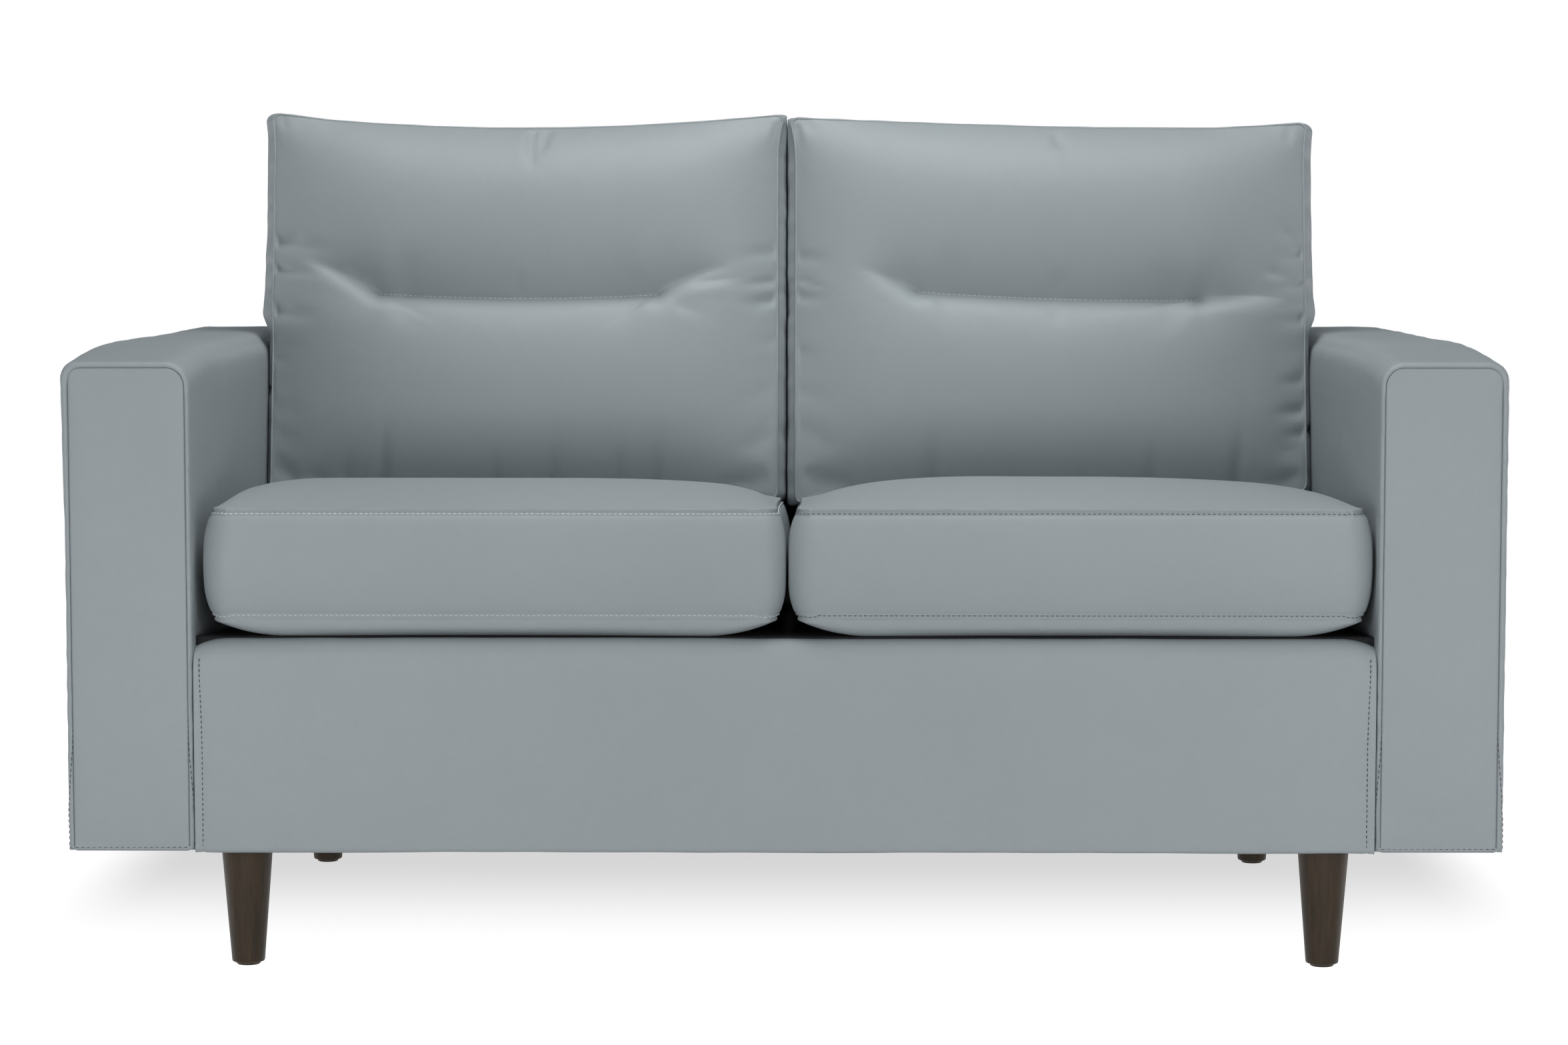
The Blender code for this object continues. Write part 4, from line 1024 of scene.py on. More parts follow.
def make_back_outer_cover(sizes):
    """The upright rear of the back frame, topstitched up both sides and over the top."""
    low, high = node_box("back_outer_cover")

    def outline(y, z, x):
        """The section as it is."""
        return y, z

    def wave(x, y, z):
        """A faint unevenness, up to 0.8 mm inside the solid."""
        return -0.0004 + 0.0004 * soft_noise(x, z, 0.2, 42)

    radii, leather = even_radii(0.0015), finish("faux_leather")
    piece = put_across("back_outer_panel", low, high, radii, outline, wave, leather)
    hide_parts("back_outer_cover")

    left, right = low[0] + sizes.seam_offset, high[0] - sizes.seam_offset
    foot, top, count = low[2] + 0.004, high[2] - sizes.seam_offset, 200
    ends = np.array([[left, foot], [left, top], [right, top], [right, foot]])
    rows, thread = [], finish("dark_thread")
    for start, stop in zip(ends[:-1], ends[1:]):
        spots = start + np.linspace(0, 1, count)[:, None] * (stop - start)
        path = join(spots[:, 0], high[1] - 0.0003, spots[:, 1])
        rows.append((path, np.tile([0.0, 1.0, 0.0], (count, 1)), False))
    put_stitches("back_outer_stitches", rows, thread, "frame", "cover", *usual_stitch(sizes))


# Cushions


# Share of the crown, then the rise of the top from the left and the right seam: share and
# reach of its quick part, and reach of its slow part.
seat_slopes = {
    "left": (0.845, (0.76, 0.026, 0.10), (0.5, 0.03, 0.25)),
    "right": (0.94, (0.32, 0.045, 0.24), (0.48, 0.038, 0.30)),
}
# Pleats between a seam and its topstitch: place across, 1 at the top or -1 at the bottom, height.
seat_pleats = {
    "left": ((-0.283, 1, 0.0011), (-0.277, 1, 0.0008), (0.281, -1, 0.0006)),
    "right": (
        (-0.287, 1, 0.0010),
        (-0.276, -1, 0.0012),
        (-0.269, -1, 0.0009),
        (-0.258, -1, 0.0010),
        (-0.252, -1, 0.0006),
        (0.262, 1, 0.0008),
        (0.270, 1, 0.0010),
        (0.277, 1, 0.0009),
        (0.286, 1, 0.0011),
    ),
}


def make_seat_cushion(name, side, sizes):
    """A boxed seat cushion that lies on the deck, with its zip and its topstitching."""
    low, high = node_box(f"seat_cushion_cover_{name}")
    middle_x, middle_y = (low[0] + high[0]) / 2, (low[1] + high[1]) / 2
    across, along = high[0] - low[0], high[1] - low[1]
    # How far the boxing bulges, the rim draws in, and the crest lies behind the sofa's front.
    bulge, draw, crest = 0.0095, 0.003, 0.300
    half_x, half_y = across / 2 - bulge, along / 2 - bulge
    peak = (front_y + crest - middle_y) / half_y
    boxing = sizes.seat_boxing
    half, stitch = boxing / 2, boxing / 2 - sizes.seam_offset
    level = deck_height - deck_fall * (middle_y - front_y) + sizes.seat_swell + half
    seed = 51 if side < 0 else 61

    crown, *slopes = seat_slopes[name]
    crown *= sizes.seat_crown
    zip_low, zip_high = node_box(f"seat_cushion_zip_{name}")
    zip_length = zip_high[0] - zip_low[0]

    def lay(points):
        """Own directions: across, to the rear, and up from a plane that falls with the deck."""
        x, y, z = split(points)
        return join(middle_x + x, middle_y + y, level + z - deck_fall * y)

    def side_rise(gap, curve):
        """Rise from a side seam: a quick part and a slow part, each one minus a power."""
        quick, reach, slow_reach = curve
        near = 1 - np.clip(1 - gap / reach, 0, 1) ** 2
        far = 1 - np.clip(1 - gap / slow_reach, 0, 1) ** 2.5
        return quick * near + (1 - quick) * far

    def waist(x, y):
        """Draw the rim in between the corners by one minus the square of the share."""
        a, b = x / half_x, y / half_y
        return x * (1 - draw / half_x * (1 - b * b)), y * (1 - draw / half_y * (1 - a * a))

    def panel(x, y, front):
        """The top (1) and the underside (-1) with a low ridge beside their seams.

        The top is the crown times the rises from both sides and the rise along the cushion.
        That one is one minus a fifth power in front of the crest, and straight behind it.
        The underside is full but for a round at its sides and a shorter one at its ends.
        """
        b = y / half_y
        gap = np.minimum(half_x - np.abs(x), half_y - np.abs(y))
        x1, y1 = waist(x, y)
        if front > 0:
            ahead = 1 - (np.abs(peak - b) / (peak + 1)) ** 5.0
            rise = np.where(b < peak, ahead, 1 - (b - peak) / (1 - peak))
            z = side_rise(half_x + x, slopes[0]) * side_rise(half_x - x, slopes[1])
            z = half + crown * z * rise
            z += 0.0010 * soft_noise(x, y, 0.15, seed) * ease(gap / 0.06)
        else:
            sides = 1 - np.clip(1 - (half_x - np.abs(x)) / 0.095, 0, 1) ** 2.7
            ends = np.sqrt(1 - np.clip(1 - (half_y - np.abs(y)) / 0.0165, 0, 1) ** 2)
            z = -half - sizes.seat_swell * sides * ends
        z += 0.0006 * front * bell(gap, 0.003)
        return join(x1, y1, z)

    def ring(x, y, out_x, out_y, share):
        """The boxing bulges by one minus the share to the power 2.4.

        Bells press grooves at the topstitches and the seams, and lift pleats between them.
        """
        x1, y1 = waist(x, y)
        gap = half * (1 - abs(share))
        puff = (bulge + 0.002) * (1 - np.abs(share) ** 2.4)
        puff -= 0.0009 * bell(abs(share) * half - stitch, 0.0013)
        puff -= 0.0026 * bell(gap - 0.0021, 0.0011)
        puff = puff + 0.0005 * bell(gap, 0.012) * soft_noise(x + 2 * y, y - x, 0.012, seed + 1)
        lip = bell(gap - 0.003, 0.0032)
        for at, end, tall in seat_pleats[name]:
            if end * share > 0:
                puff = puff + tall * lip * bell(x - at, 0.0017) * np.clip(-out_y, 0, 1)
        turn = np.arctan2(y, x)
        waves = soft_noise(turn * 0.3, share * 0.05, 0.09, seed + 2)
        puff = puff + 0.0008 * (1 - share**2) * waves
        # The zip lies in a shallow placket, in the middle of the rear boxing.
        placket = bell(share * half, 0.0058)
        placket = placket * ease((zip_length / 2 + 0.008 - np.abs(x)) / 0.008)
        puff = puff - 0.0022 * placket * np.clip(out_y, 0, 1)
        return join(x1 + out_x * puff, y1 + out_y * puff, share * half)

    def press(points):
        """Keep the skin on the deck and inside the room between the arms and the other seat."""
        x, y, z = split(points)
        room, softness = across / 2 - 0.0003, 0.0006
        x = middle_x + soft_limit(x - middle_x, room, softness)
        x = middle_x - soft_limit(middle_x - x, room, softness)
        y = middle_y - soft_limit(middle_y - y, along / 2 + 0.0020, softness)
        y = np.minimum(y, high[1])
        return join(x, y, np.maximum(z, deck_height - deck_fall * (y - front_y)))

    def grids(step, edge, ring_step, ring_edge):
        """The grid's places across and along, and the shares of the rings."""
        xs = places(-half_x, half_x, step, [(-half_x, edge, 0.085), (half_x, edge, 0.085)])
        spots = [(-half_y, edge * 1.2, 0.05), (half_y, edge * 1.6, 0.05)]
        ys = places(-half_y, half_y, step * 1.1, spots)
        fine = [(0.0, ring_edge * 4, 0.012)]
        for at, reach in ((stitch, 0.006), (half, 0.005)):
            fine += [(-at, ring_edge, reach), (at, ring_edge, reach)]
        return xs, ys, places(-half, half, ring_step, fine) / half

    radii = even_radii(0.024)
    form = Form(*grids(0.0065, 0.0013, 0.007, 0.0006), radii, panel, ring, lay)
    coarse = Form(*grids(0.016, 0.009, 0.012, 0.009), radii, panel, ring, lay)
    form.take_moves(coarse, settle(coarse, np.zeros(0, int), 3.0, 0.0015, 0.0035))
    form.front, form.rear, form.band = press(form.front), press(form.rear), press(form.band)
    body, leather = f"seat_cushion_{name}", finish("faux_leather")
    skin = f"seat_cushion_cover_skin_{name}"
    cover = put_mesh(skin, form.points(), form.quads(), leather, body)
    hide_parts(f"seat_cushion_cover_{name}", f"seat_cushion_core_{name}")
    out = np.array([0.0, 1.0, -deck_fall])
    make_zip(f"seat_cushion_zip_{name}", form, body, out, False, zip_length)

    thread = finish("light_thread" if side < 0 else "dark_thread")
    rows = [(*form.on_band(sizes.seam_offset, top), True) for top in (True, False)]
    measures = (*seat_stitch, sizes.thread_radius)
    put_stitches(f"seat_cushion_stitches_{name}", rows, thread, body, "cover", *measures)


# Of each back cushion: its side seams, how far its top corners flare (outer, inner), its
# height, where it meets the other cushion, where the pinch in its outer boxing lies, how far
# its inner lower corner hangs, and the three points of the sewn channel. Then the creases:
# ends run on from the channel's ends and folds are the others (path, depth, widths above and
# below, ridge, and for folds the share of the depth at the start), gathers stand along the
# bottom (place, depth, reach) and puckers along the side seams (side, place, reach, depth,
# width).
back_shapes = {
    "left": {
        "seams": (-0.6240, -0.0137),
        "flares": (0.0045, 0.0090),
        "height": 0.4605,
        "contact": -0.0026,
        "pinch": -0.116,
        "droop": 0.011,
        "channel": ((-0.175, 0.0125), (-0.006, 0.0077), (0.162, 0.0112)),
        "ends": (
            (((-0.172, 0.0125), (-0.2256, 0.039), (-0.285, 0.058)), 0.0160, 0.022, 0.0085, 0.0016),
            (((0.160, 0.0112), (0.206, 0.0352), (0.268, 0.046)), 0.0145, 0.022, 0.0090, 0.0012),
        ),
        "folds": (
            (((-0.262, 0.086), (-0.285, 0.075), (-0.303, 0.071)), 0.00493, 0.012, 0.006, 0.001, 0),
            (((-0.215, 0.052), (-0.195, 0.036), (-0.178, 0.026)), 0.00174, 0.009, 0.006, 0.0008, 0),
            (((0.185, 0.022), (0.232, 0.026), (0.285, 0.030)), 0.00435, 0.012, 0.006, 0.0012, 0),
            (((0.172, 0.004), (0.200, -0.010), (0.240, -0.028)), 0.00232, 0.010, 0.007, 0.0006, 0),
            (((0.009, 0.222), (0.0085, 0.192), (0.016, 0.162)), 0.00638, 0.0036, 0.005, 0.0012, 1),
            (((0.027, 0.222), (0.0225, 0.202), (0.018, 0.182)), 0.00522, 0.005, 0.0036, 0.0008, 1),
        ),
        "gathers": (
            (-0.214, 0.0032, 0.030),
            (-0.170, 0.0060, 0.055),
            (-0.035, 0.0044, 0.040),
            (0.033, 0.0052, 0.050),
            (0.112, 0.0048, 0.045),
            (0.156, 0.0060, 0.055),
        ),
        "puckers": (
            (-1, 0.0736, 0.0918, 0.00608, 0.0085),
            (-1, 0.0400, 0.0675, 0.00544, 0.0070),
            (-1, -0.0110, 0.0702, 0.00608, 0.0090),
            (-1, -0.0700, 0.0297, 0.00192, 0.0080),
            (1, 0.0613, 0.0702, 0.0032, 0.0080),
            (1, 0.0255, 0.0675, 0.00288, 0.0060),
            (1, 0.0030, 0.0567, 0.0048, 0.0080),
            (1, -0.0480, 0.0405, 0.00192, 0.0080),
        ),
    },
    "right": {
        "seams": (0.0089, 0.6232),
        "flares": (0.0050, 0.0085),
        "height": 0.4565,
        "contact": -0.0018,
        "pinch": -0.162,
        "droop": 0.016,
        "channel": ((-0.1616, 0.0142), (0.0077, 0.0068), (0.177, 0.0073)),
        "ends": (
            (((-0.160, 0.0142), (-0.190, 0.0285), (-0.240, 0.046)), 0.0125, 0.020, 0.0090, 0.0010),
            (((0.175, 0.0073), (0.235, 0.0115), (0.296, 0.004)), 0.0160, 0.024, 0.0090, 0.0018),
        ),
        "folds": (
            (((0.268, 0.100), (0.290, 0.082), (0.304, 0.060)), 0.00493, 0.010, 0.006, 0.0012, 0),
            (((0.250, 0.046), (0.276, 0.036), (0.300, 0.034)), 0.00406, 0.010, 0.005, 0.0012, 0),
            (((0.008, 0.216), (0.012, 0.202), (0.024, 0.188)), 0.00377, 0.005, 0.004, 0.0008, 0.8),
        ),
        "gathers": (
            (-0.148, 0.0060, 0.050),
            (0.030, 0.0024, 0.030),
            (0.116, 0.0052, 0.045),
            (0.220, 0.0056, 0.050),
        ),
        "puckers": (
            (-1, 0.0560, 0.0540, 0.00256, 0.0080),
            (-1, 0.0080, 0.0459, 0.00288, 0.0080),
            (-1, -0.0600, 0.0351, 0.00192, 0.0080),
            (1, 0.0640, 0.0486, 0.0048, 0.0070),
            (1, 0.0260, 0.0459, 0.00352, 0.0060),
            (1, -0.0160, 0.0486, 0.0048, 0.0080),
            (1, -0.0920, 0.0459, 0.00352, 0.0065),
            (1, -0.1290, 0.0486, 0.00416, 0.0065),
            (1, -0.1570, 0.0405, 0.00384, 0.0060),
        ),
    },
}


def back_top_edge(side, a):
    """How far the top rim lies below the cushion's height at a share across.

    On the left it is a parabola, less a little at its left end. On the right it is level,
    less a square of the share to the left and a power near the right end.
    """
    if side < 0:
        return 0.0170 * (1 - a * a) - 0.0020 * ease(-a * 4 - 3)
    left = 0.0150 * np.clip((1 - a) / 2, 0, 1) ** 2
    right = 0.0085 * np.clip((a - 0.45) / 0.55, 0, 1) ** 1.6
    return 0.0150 - left - right


def make_back_cushion(name, side, sizes):
    """A boxed back cushion that stands on the seat and leans on the back frame.

    Its own directions are across, up along the leaning back, and forwards. Forwards
    follows the seat's top, so it is not square to up, and is stretched to make up for it.
    """
    shape = back_shapes[name]
    # The cushion's lowest rear corner, in the middle, and the rise of the seat under it
    # towards the front.
    heel, tilt = np.array([sum(shape["seams"]) / 2, 0.26578, 0.45849]), 0.13364
    up = np.array([0.0, math.sin(back_lean), math.cos(back_lean)])
    forward = np.array([0.0, -1.0, tilt]) / math.hypot(1.0, tilt)
    square = float(forward @ np.array([0.0, -math.cos(back_lean), math.sin(back_lean)]))
    forward = forward / square
    half_x, half_y = (shape["seams"][1] - shape["seams"][0]) / 2, shape["height"] / 2
    boxing = sizes.back_boxing
    half = boxing / 2
    origin = heel + up * half_y + forward * (sizes.back_swell + half)
    channel = bend(*shape["channel"], 24)
    line = float(channel[:, 1].mean())
    seed = 71 if side < 0 else 81

    def lay(points):
        """Own places as sums of the three directions, from the cushion's middle."""
        x, y, z = split(points)
        across = x[..., None] * np.array([1.0, 0.0, 0.0])
        return origin + across + y[..., None] * up + z[..., None] * forward

    def droop(a, b):
        """The inner lower corner hangs down: a power across times a share downwards."""
        inner = np.clip((-a * side - 0.80) / 0.20, 0, 1) ** 1.2
        return shape["droop"] * inner * np.clip((-0.5 - b) / 0.5, 0, 1)

    def waist(x, y):
        """The top corners flare by a square across times a squared S-curve upwards.

        The outer side draws in below its middle by a cube, and the top rim dips.
        """
        a, b = x / half_x, y / half_y
        outer, inner = shape["flares"] if side < 0 else shape["flares"][::-1]
        flare = np.where(x < 0, -outer, inner) * a * a * ease((b - 0.70) / 0.36) ** 2
        flare = flare - side * 0.0016 * np.clip(a * side, 0, 1) ** 3 * ease((-0.02 - b) / 0.25)
        dip = back_top_edge(side, a) * np.clip((b + 1) / 2, 0, 1) ** 1.5
        return x + flare, y - dip - droop(a, b)

    def level_rows(x, y):
        """Bend the grid's rows near the channel so that one of them follows it."""
        return y + (np.interp(x, channel[:, 0], channel[:, 1]) - line) * bell(y - line, 0.06)

    def panel(x, y, front):
        """The front (1) and the rear (-1) of the cushion.

        The rear is full but for its edges. The front is the crown times one minus a power of
        the share from the channel to the top or the bottom, and one minus a power across.
        The channel is taken off it by e to the minus of the distance over a width.
        """
        a, b = x / half_x, y / half_y
        y = level_rows(x, y)
        x1, y1 = waist(x, y)
        if front < 0:
            full = np.clip(4 * flat_middle(a, 3) * flat_middle(b, 3), 0, 1)
            return join(x1, y1, -half - sizes.back_swell * full)
        distance, share = off_path(x, y, channel)
        seam_y = np.interp(x, channel[:, 0], channel[:, 1])
        upper = np.clip((y - seam_y) / (half_y - seam_y), 0, 1)
        lower = np.clip((seam_y - y) / (half_y + seam_y), 0, 1)
        crown = np.where(y > seam_y, (1 - upper**5) ** 0.8, (1 - lower**1.7) ** 0.85)
        z = half + sizes.back_crown * crown * flat_middle(a, 3.4) ** 0.9
        # The channel draws the leather in gently from above and sharply from below.
        along = ease(8 * share) * ease(8 * (1 - share))
        deep = sizes.channel_depth * (0.70 + 0.30 * along)
        away = np.abs(distance)
        over = ease(0.5 + 0.5 * np.clip((y - seam_y) / (away + 0.0002), -1, 1))
        under = 0.60 * np.exp(-away / 0.0085) + 0.40 * np.exp(-away / 0.060)
        z -= deep * (over * np.exp(-away / 0.042) + (1 - over) * under)
        return join(x1, y1, z)

    def details(x, y):
        """Furrows, gathers and puckers, as heights along the cushion's forward direction.

        A gather is the product of two bells, and a pucker a bell that an S-curve ends.
        """
        y = level_rows(x, y)
        height = np.zeros_like(x)
        for path, deep, above, below, ridge in shape["ends"]:
            height += furrow(x, y, bend(*path), deep, above, below, ridge, 0.75)
        for path, deep, above, below, ridge, start in shape["folds"]:
            height += furrow(x, y, bend(*path), deep, above, below, ridge, start)
        for at, deep, reach in shape["gathers"]:
            lean_in = (y + half_y) * 0.08
            height -= deep * bell(x - at - lean_in, 0.007) * bell(y + half_y, reach)
        for edge, at, reach, deep, wide in shape["puckers"]:
            inward = half_x - edge * x
            height -= deep * bell(y - at + 0.12 * inward, wide) * (1 - ease(inward / reach))
        gap = np.minimum(half_x - np.abs(x), half_y - np.abs(y))
        height += 0.0009 * soft_noise(x, y, 0.10, seed)
        height += 0.0006 * soft_noise(x, y, 0.018, seed + 3) * bell(gap, 0.02)
        return height * ease(gap / 0.006)

    def ring(x, y, out_x, out_y, share):
        """The boxing bulges by one minus the share to the seventh, most at its sides.

        Lumps and a groove run beside both seams. The outer side is pinched at one place and
        swells a little at another.
        """
        x1, y1 = waist(x, y)
        ahead, gap = half * (1 - share), half * (1 - abs(share))
        outer = np.clip(out_x * side, 0, 1)
        puff = (0.0125 * out_x**2 + 0.003 * out_y**2) * (1 - np.abs(share) ** 7)
        lumps = 0.0017 * soft_noise(x + y, y - x, 0.024, seed + 1)
        lumps = lumps + 0.0008 * soft_noise(x + y, y, 0.011, seed)
        puff = puff + bell(gap, 0.022) * (1 - abs(share) ** 40) * lumps * out_x**2
        puff = puff - 0.0040 * bell(gap - 0.0050, 0.0034) * out_x**2
        pinch = 0.0080 * bell(y - shape["pinch"] - 0.05 * (1 - share), 0.0060) * outer
        puff = puff - pinch * bell(ahead, 0.05)
        puff = puff + 0.0040 * bell(y + 0.015, 0.028) * outer * (1 - share**6)
        waves = soft_noise(x + y, share * 0.08, 0.05, seed + 2)
        puff = puff + 0.0014 * (1 - share**2) * waves
        return join(x1 + out_x * puff, y1 + out_y * puff, share * half)

    def press(points):
        """Flatten the skin where it rests on the arm, the other cushion, the back and the seat."""
        x, y, z = split(points)
        softness = 0.0008
        hang = droop((x - heel[0]) / half_x, -1.0)
        # The arm's inner face, and the room over its rounded top.
        x = soft_limit(x * side, 0.6281 + 0.0103 * ease((z - 0.662) / 0.03), softness)
        x = -soft_limit(-x, -shape["contact"] * side, softness)
        # The leaning face of the back, by its place at a height of 0.350.
        y = np.minimum(y, front_y + 0.6745 + math.tan(back_lean) * (z - 0.350))
        # The seat, whose plane would meet the sofa's front at a height of 0.55157.
        z = np.maximum(z, 0.55157 - tilt * (y - front_y) - hang)
        return join(x * side, y, z)

    def grids(step, edge, ring_step):
        """The grid's places across and up, the shares of the rings, and the channel's row."""
        xs = places(-half_x, half_x, step, [(-half_x, edge, 0.04), (half_x, edge, 0.04)])
        low = places(-half_y, line, step, [(-half_y, edge, 0.04), (line, edge, 0.05)])
        high = places(line, half_y, step, [(line, edge, 0.05), (half_y, edge, 0.04)])
        spots = [(-half, ring_step, 0.02), (half, ring_step, 0.03)]
        shares = places(-half, half, 2 * ring_step, spots) / half
        return xs, np.concatenate([low, high[1:]]), shares, len(low) - 1

    radii = even_radii(0.010)
    *spans, held = grids(0.0048, 0.0014, 0.00325)
    form = Form(*spans, radii, panel, ring, lay)
    *spans, held = grids(0.0105, 0.0060, 0.008)
    coarse = Form(*spans, radii, panel, ring, lay)
    between = (coarse.xs > channel[0, 0]) & (coarse.xs < channel[-1, 0])
    sewn = np.flatnonzero(between) + held * len(coarse.xs)
    form.take_moves(coarse, settle(coarse, sewn, 6.0, 0.0022, 0.012))
    x, y = np.meshgrid(form.xs, form.ys)
    form.front = form.front + details(x, y)[..., None] * forward
    form.front, form.rear, form.band = press(form.front), press(form.rear), press(form.band)
    body, leather = f"back_cushion_{name}", finish("faux_leather")
    skin = f"back_cushion_cover_skin_{name}"
    cover = put_mesh(skin, form.points(), form.quads(), leather, body)
    zip_low, zip_high = node_box(f"back_cushion_zip_{name}")
    make_zip(f"back_cushion_zip_{name}", form, body, -up, True, zip_high[0] - zip_low[0])
    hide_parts(f"back_cushion_cover_{name}", f"back_cushion_core_{name}")

    for seam, from_front in (("front", True), ("rear", False)):
        loop, normals = form.on_band(0.0, from_front)
        normals = normals + forward * square * (1 if from_front else -1)
        bead, radius = f"back_cushion_{seam}_seam_{name}", sizes.bead_radius
        put_bead(bead, loop, normals, leather, body, radius, seed + 5)

    count = 160
    x = np.interp(np.linspace(0, 1, count), np.linspace(0, 1, len(channel)), channel[:, 0])
    path = form.on_front(x, np.full_like(x, line))
    rows, thread = [(path, np.tile(forward * square, (count, 1)), False)], finish("light_thread")
    measures = usual_stitch(sizes)
    put_stitches(f"back_cushion_stitches_{name}", rows, thread, body, "cover", *measures)


# Legs and linings


def make_leg(name):
    """A turned leg: a straight taper with a small round at the foot and a thin glide."""
    low, high = node_box(name)
    x, y = (low[0] + high[0]) / 2, (low[1] + high[1]) / 2
    top, foot, start = (high[0] - low[0]) / 2, 0.0175, 0.003
    z = places(start, high[2], 0.012, [(start, 0.0006, 0.008), (high[2], 0.0008, 0.008)])
    radius = foot + (top - foot) * (z - start) / (high[2] - start)
    radius = radius - edge_fall(z - start, 0.0016)
    # The profile as radius and height: the glide from its middle out, the taper, the top.
    glide = [[0.0004, 0.0], [0.0120, 0.0], [0.0128, 0.0008], [0.0128, 0.0029], [0.0150, 0.0030]]
    profile = np.concatenate([glide, np.stack([radius, z], axis=1), [[0.0004, high[2]]]])
    count = 64
    turn = np.arange(count) * 2 * math.pi / count
    radii, heights = profile[:, :1], profile[:, 1:]
    points = join(x + radii * np.cos(turn), y + radii * np.sin(turn), heights)
    loops = np.arange(points.shape[0] * count).reshape(-1, count)
    after = np.roll(loops, -1, axis=1)
    quads = np.stack([loops[:-1], after[:-1], after[1:], loops[1:]], axis=-1).reshape(-1, 4)
    middle = count // 2
    ends = []
    for ring, order in ((loops[0], -1), (loops[-1], 1)):
        left, right = ring[:middle], ring[::-1][:middle]
        strip = np.stack([left[:-1], left[1:], right[1:], right[:-1]], axis=-1)
        ends.append(strip[:, ::order])
    quads = np.concatenate([quads, *ends])
    leg = put_mesh(f"turned_{name}", points.reshape(-1, 3), quads, finish("stained_wood"), "frame")
    leg.data.set_sharp_from_angle(angle=math.radians(40))
    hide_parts(name)


def strap_shape(centres, across, out, half_width, half_thick):
    """Flat straps: a four-cornered section carried along each row of centres, with closed ends."""
    corners = np.array([[-1, -1], [1, -1], [1, 1], [-1, 1]])
    section = across * (corners[:, :1] * half_width) + out * (corners[:, 1:] * half_thick)
    points = centres[:, :, None, :] + section
    count = centres.shape[1]
    loops = np.arange(count * 4).reshape(count, 4)
    after = np.roll(loops, -1, axis=1)
    sleeve = np.stack([loops[:-1], loops[1:], after[1:], after[:-1]], axis=-1).reshape(-1, 4)
    one = np.concatenate([sleeve, loops[:1], loops[-1:, ::-1]])
    quads = (one[None] + (np.arange(len(centres)) * count * 4)[:, None, None]).reshape(-1, 4)
    return points.reshape(-1, 3), quads


def block_shape(centres, axes, halves, taper=0.75):
    """Small blocks whose tops are narrower than their feet by the taper."""
    corners = ((-1.0, -1.0), (1.0, -1.0), (1.0, 1.0), (-1.0, 1.0))
    signs = np.array([[a, b, c] for c in (-1.0, 1.0) for a, b in corners])
    signs = signs * np.where(signs[:, 2:] > 0, [taper, taper, 1.0], [1.0, 1.0, 1.0])
    points = centres[:, None] + (signs[None] * halves[:, None]) @ axes
    walls = [[k, (k + 1) % 4, (k + 1) % 4 + 4, k + 4] for k in range(4)]
    one = np.array([[3, 2, 1, 0], [4, 5, 6, 7], *walls])
    quads = one[None] + (np.arange(len(centres)) * 8)[:, None, None]
    return points.reshape(-1, 3), quads.reshape(-1, 4)


def join_shapes(shapes):
    """Several shapes' points and quads as one."""
    starts = np.cumsum([0] + [len(points) for points, _ in shapes])
    quads = [quads + start for (_, quads), start in zip(shapes, starts)]
    return np.concatenate([points for points, _ in shapes]), np.concatenate(quads)


def make_zip(node, form, body, out, near_rim, length):
    """A closed zip on the middle of the boxing: two tapes, two rows of teeth and a slider."""
    columns, rows = len(form.xs), len(form.ys)
    start = 0 if near_rim else columns + rows - 2
    middle = form.band[len(form.band) // 2, start : start + columns]
    middle = middle[np.argsort(middle[:, 0])]
    centre_x = (middle[0, 0] + middle[-1, 0]) / 2
    along = np.array([1.0, 0.0, 0.0])
    out = out / np.linalg.norm(out)
    across = np.cross(out, along)
    axes = np.stack([along, across, out])

    def line(x, lift, aside):
        """Places along the middle of the boxing, lifted off it and moved aside."""
        spots = np.stack([np.interp(x, middle[:, 0], middle[:, k]) for k in range(3)], axis=-1)
        return spots + out * lift + across * np.asarray(aside)[..., None]

    ends = centre_x + np.array([-length / 2, length / 2])
    x = np.linspace(*ends, 60)
    tapes = np.stack([line(x, 0.0005, side * 0.0034) for side in (-1, 1)])
    # Half of a tooth's length, width and height, the teeth's pitch, and their shift in turn.
    tooth, tooth_pitch, tooth_aside = [0.00075, 0.0019, 0.0008], 0.0021, 0.0008
    teeth = np.arange(ends[0] + 0.004, ends[1] - 0.016, tooth_pitch)
    aside = tooth_aside * (-1.0) ** np.arange(len(teeth))
    # The slider's blocks, from its plates and bridge to its loop and pull: place from the
    # slider's middle, lift, and half of the length, width and height.
    slider = np.array(
        [
            [0.0, 0.0016, 0.0060, 0.0038, 0.0005],
            [0.0, 0.0036, 0.0056, 0.0034, 0.0005],
            [0.0, 0.0026, 0.0022, 0.0010, 0.0010],
            [0.006, 0.0044, 0.0020, 0.0012, 0.0010],
            [-0.007, 0.0046, 0.0110, 0.0024, 0.0005],
        ]
    )
    spots = line(ends[1] - 0.010 + slider[:, 0], 0.0, np.zeros(len(slider)))
    shapes = [
        strap_shape(tapes, across, out, 0.0028, 0.0004),
        block_shape(line(teeth, 0.0014, aside), axes, np.tile(tooth, (len(teeth), 1))),
        block_shape(spots + out * slider[:, 1:2], axes, slider[:, 2:], 0.85),
    ]
    points, quads = join_shapes(shapes)
    piece = put_mesh(f"{node}_detail", points, quads, finish("zip_plastic"), body)
    piece.data.set_sharp_from_angle(angle=math.radians(35))
    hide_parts(node)


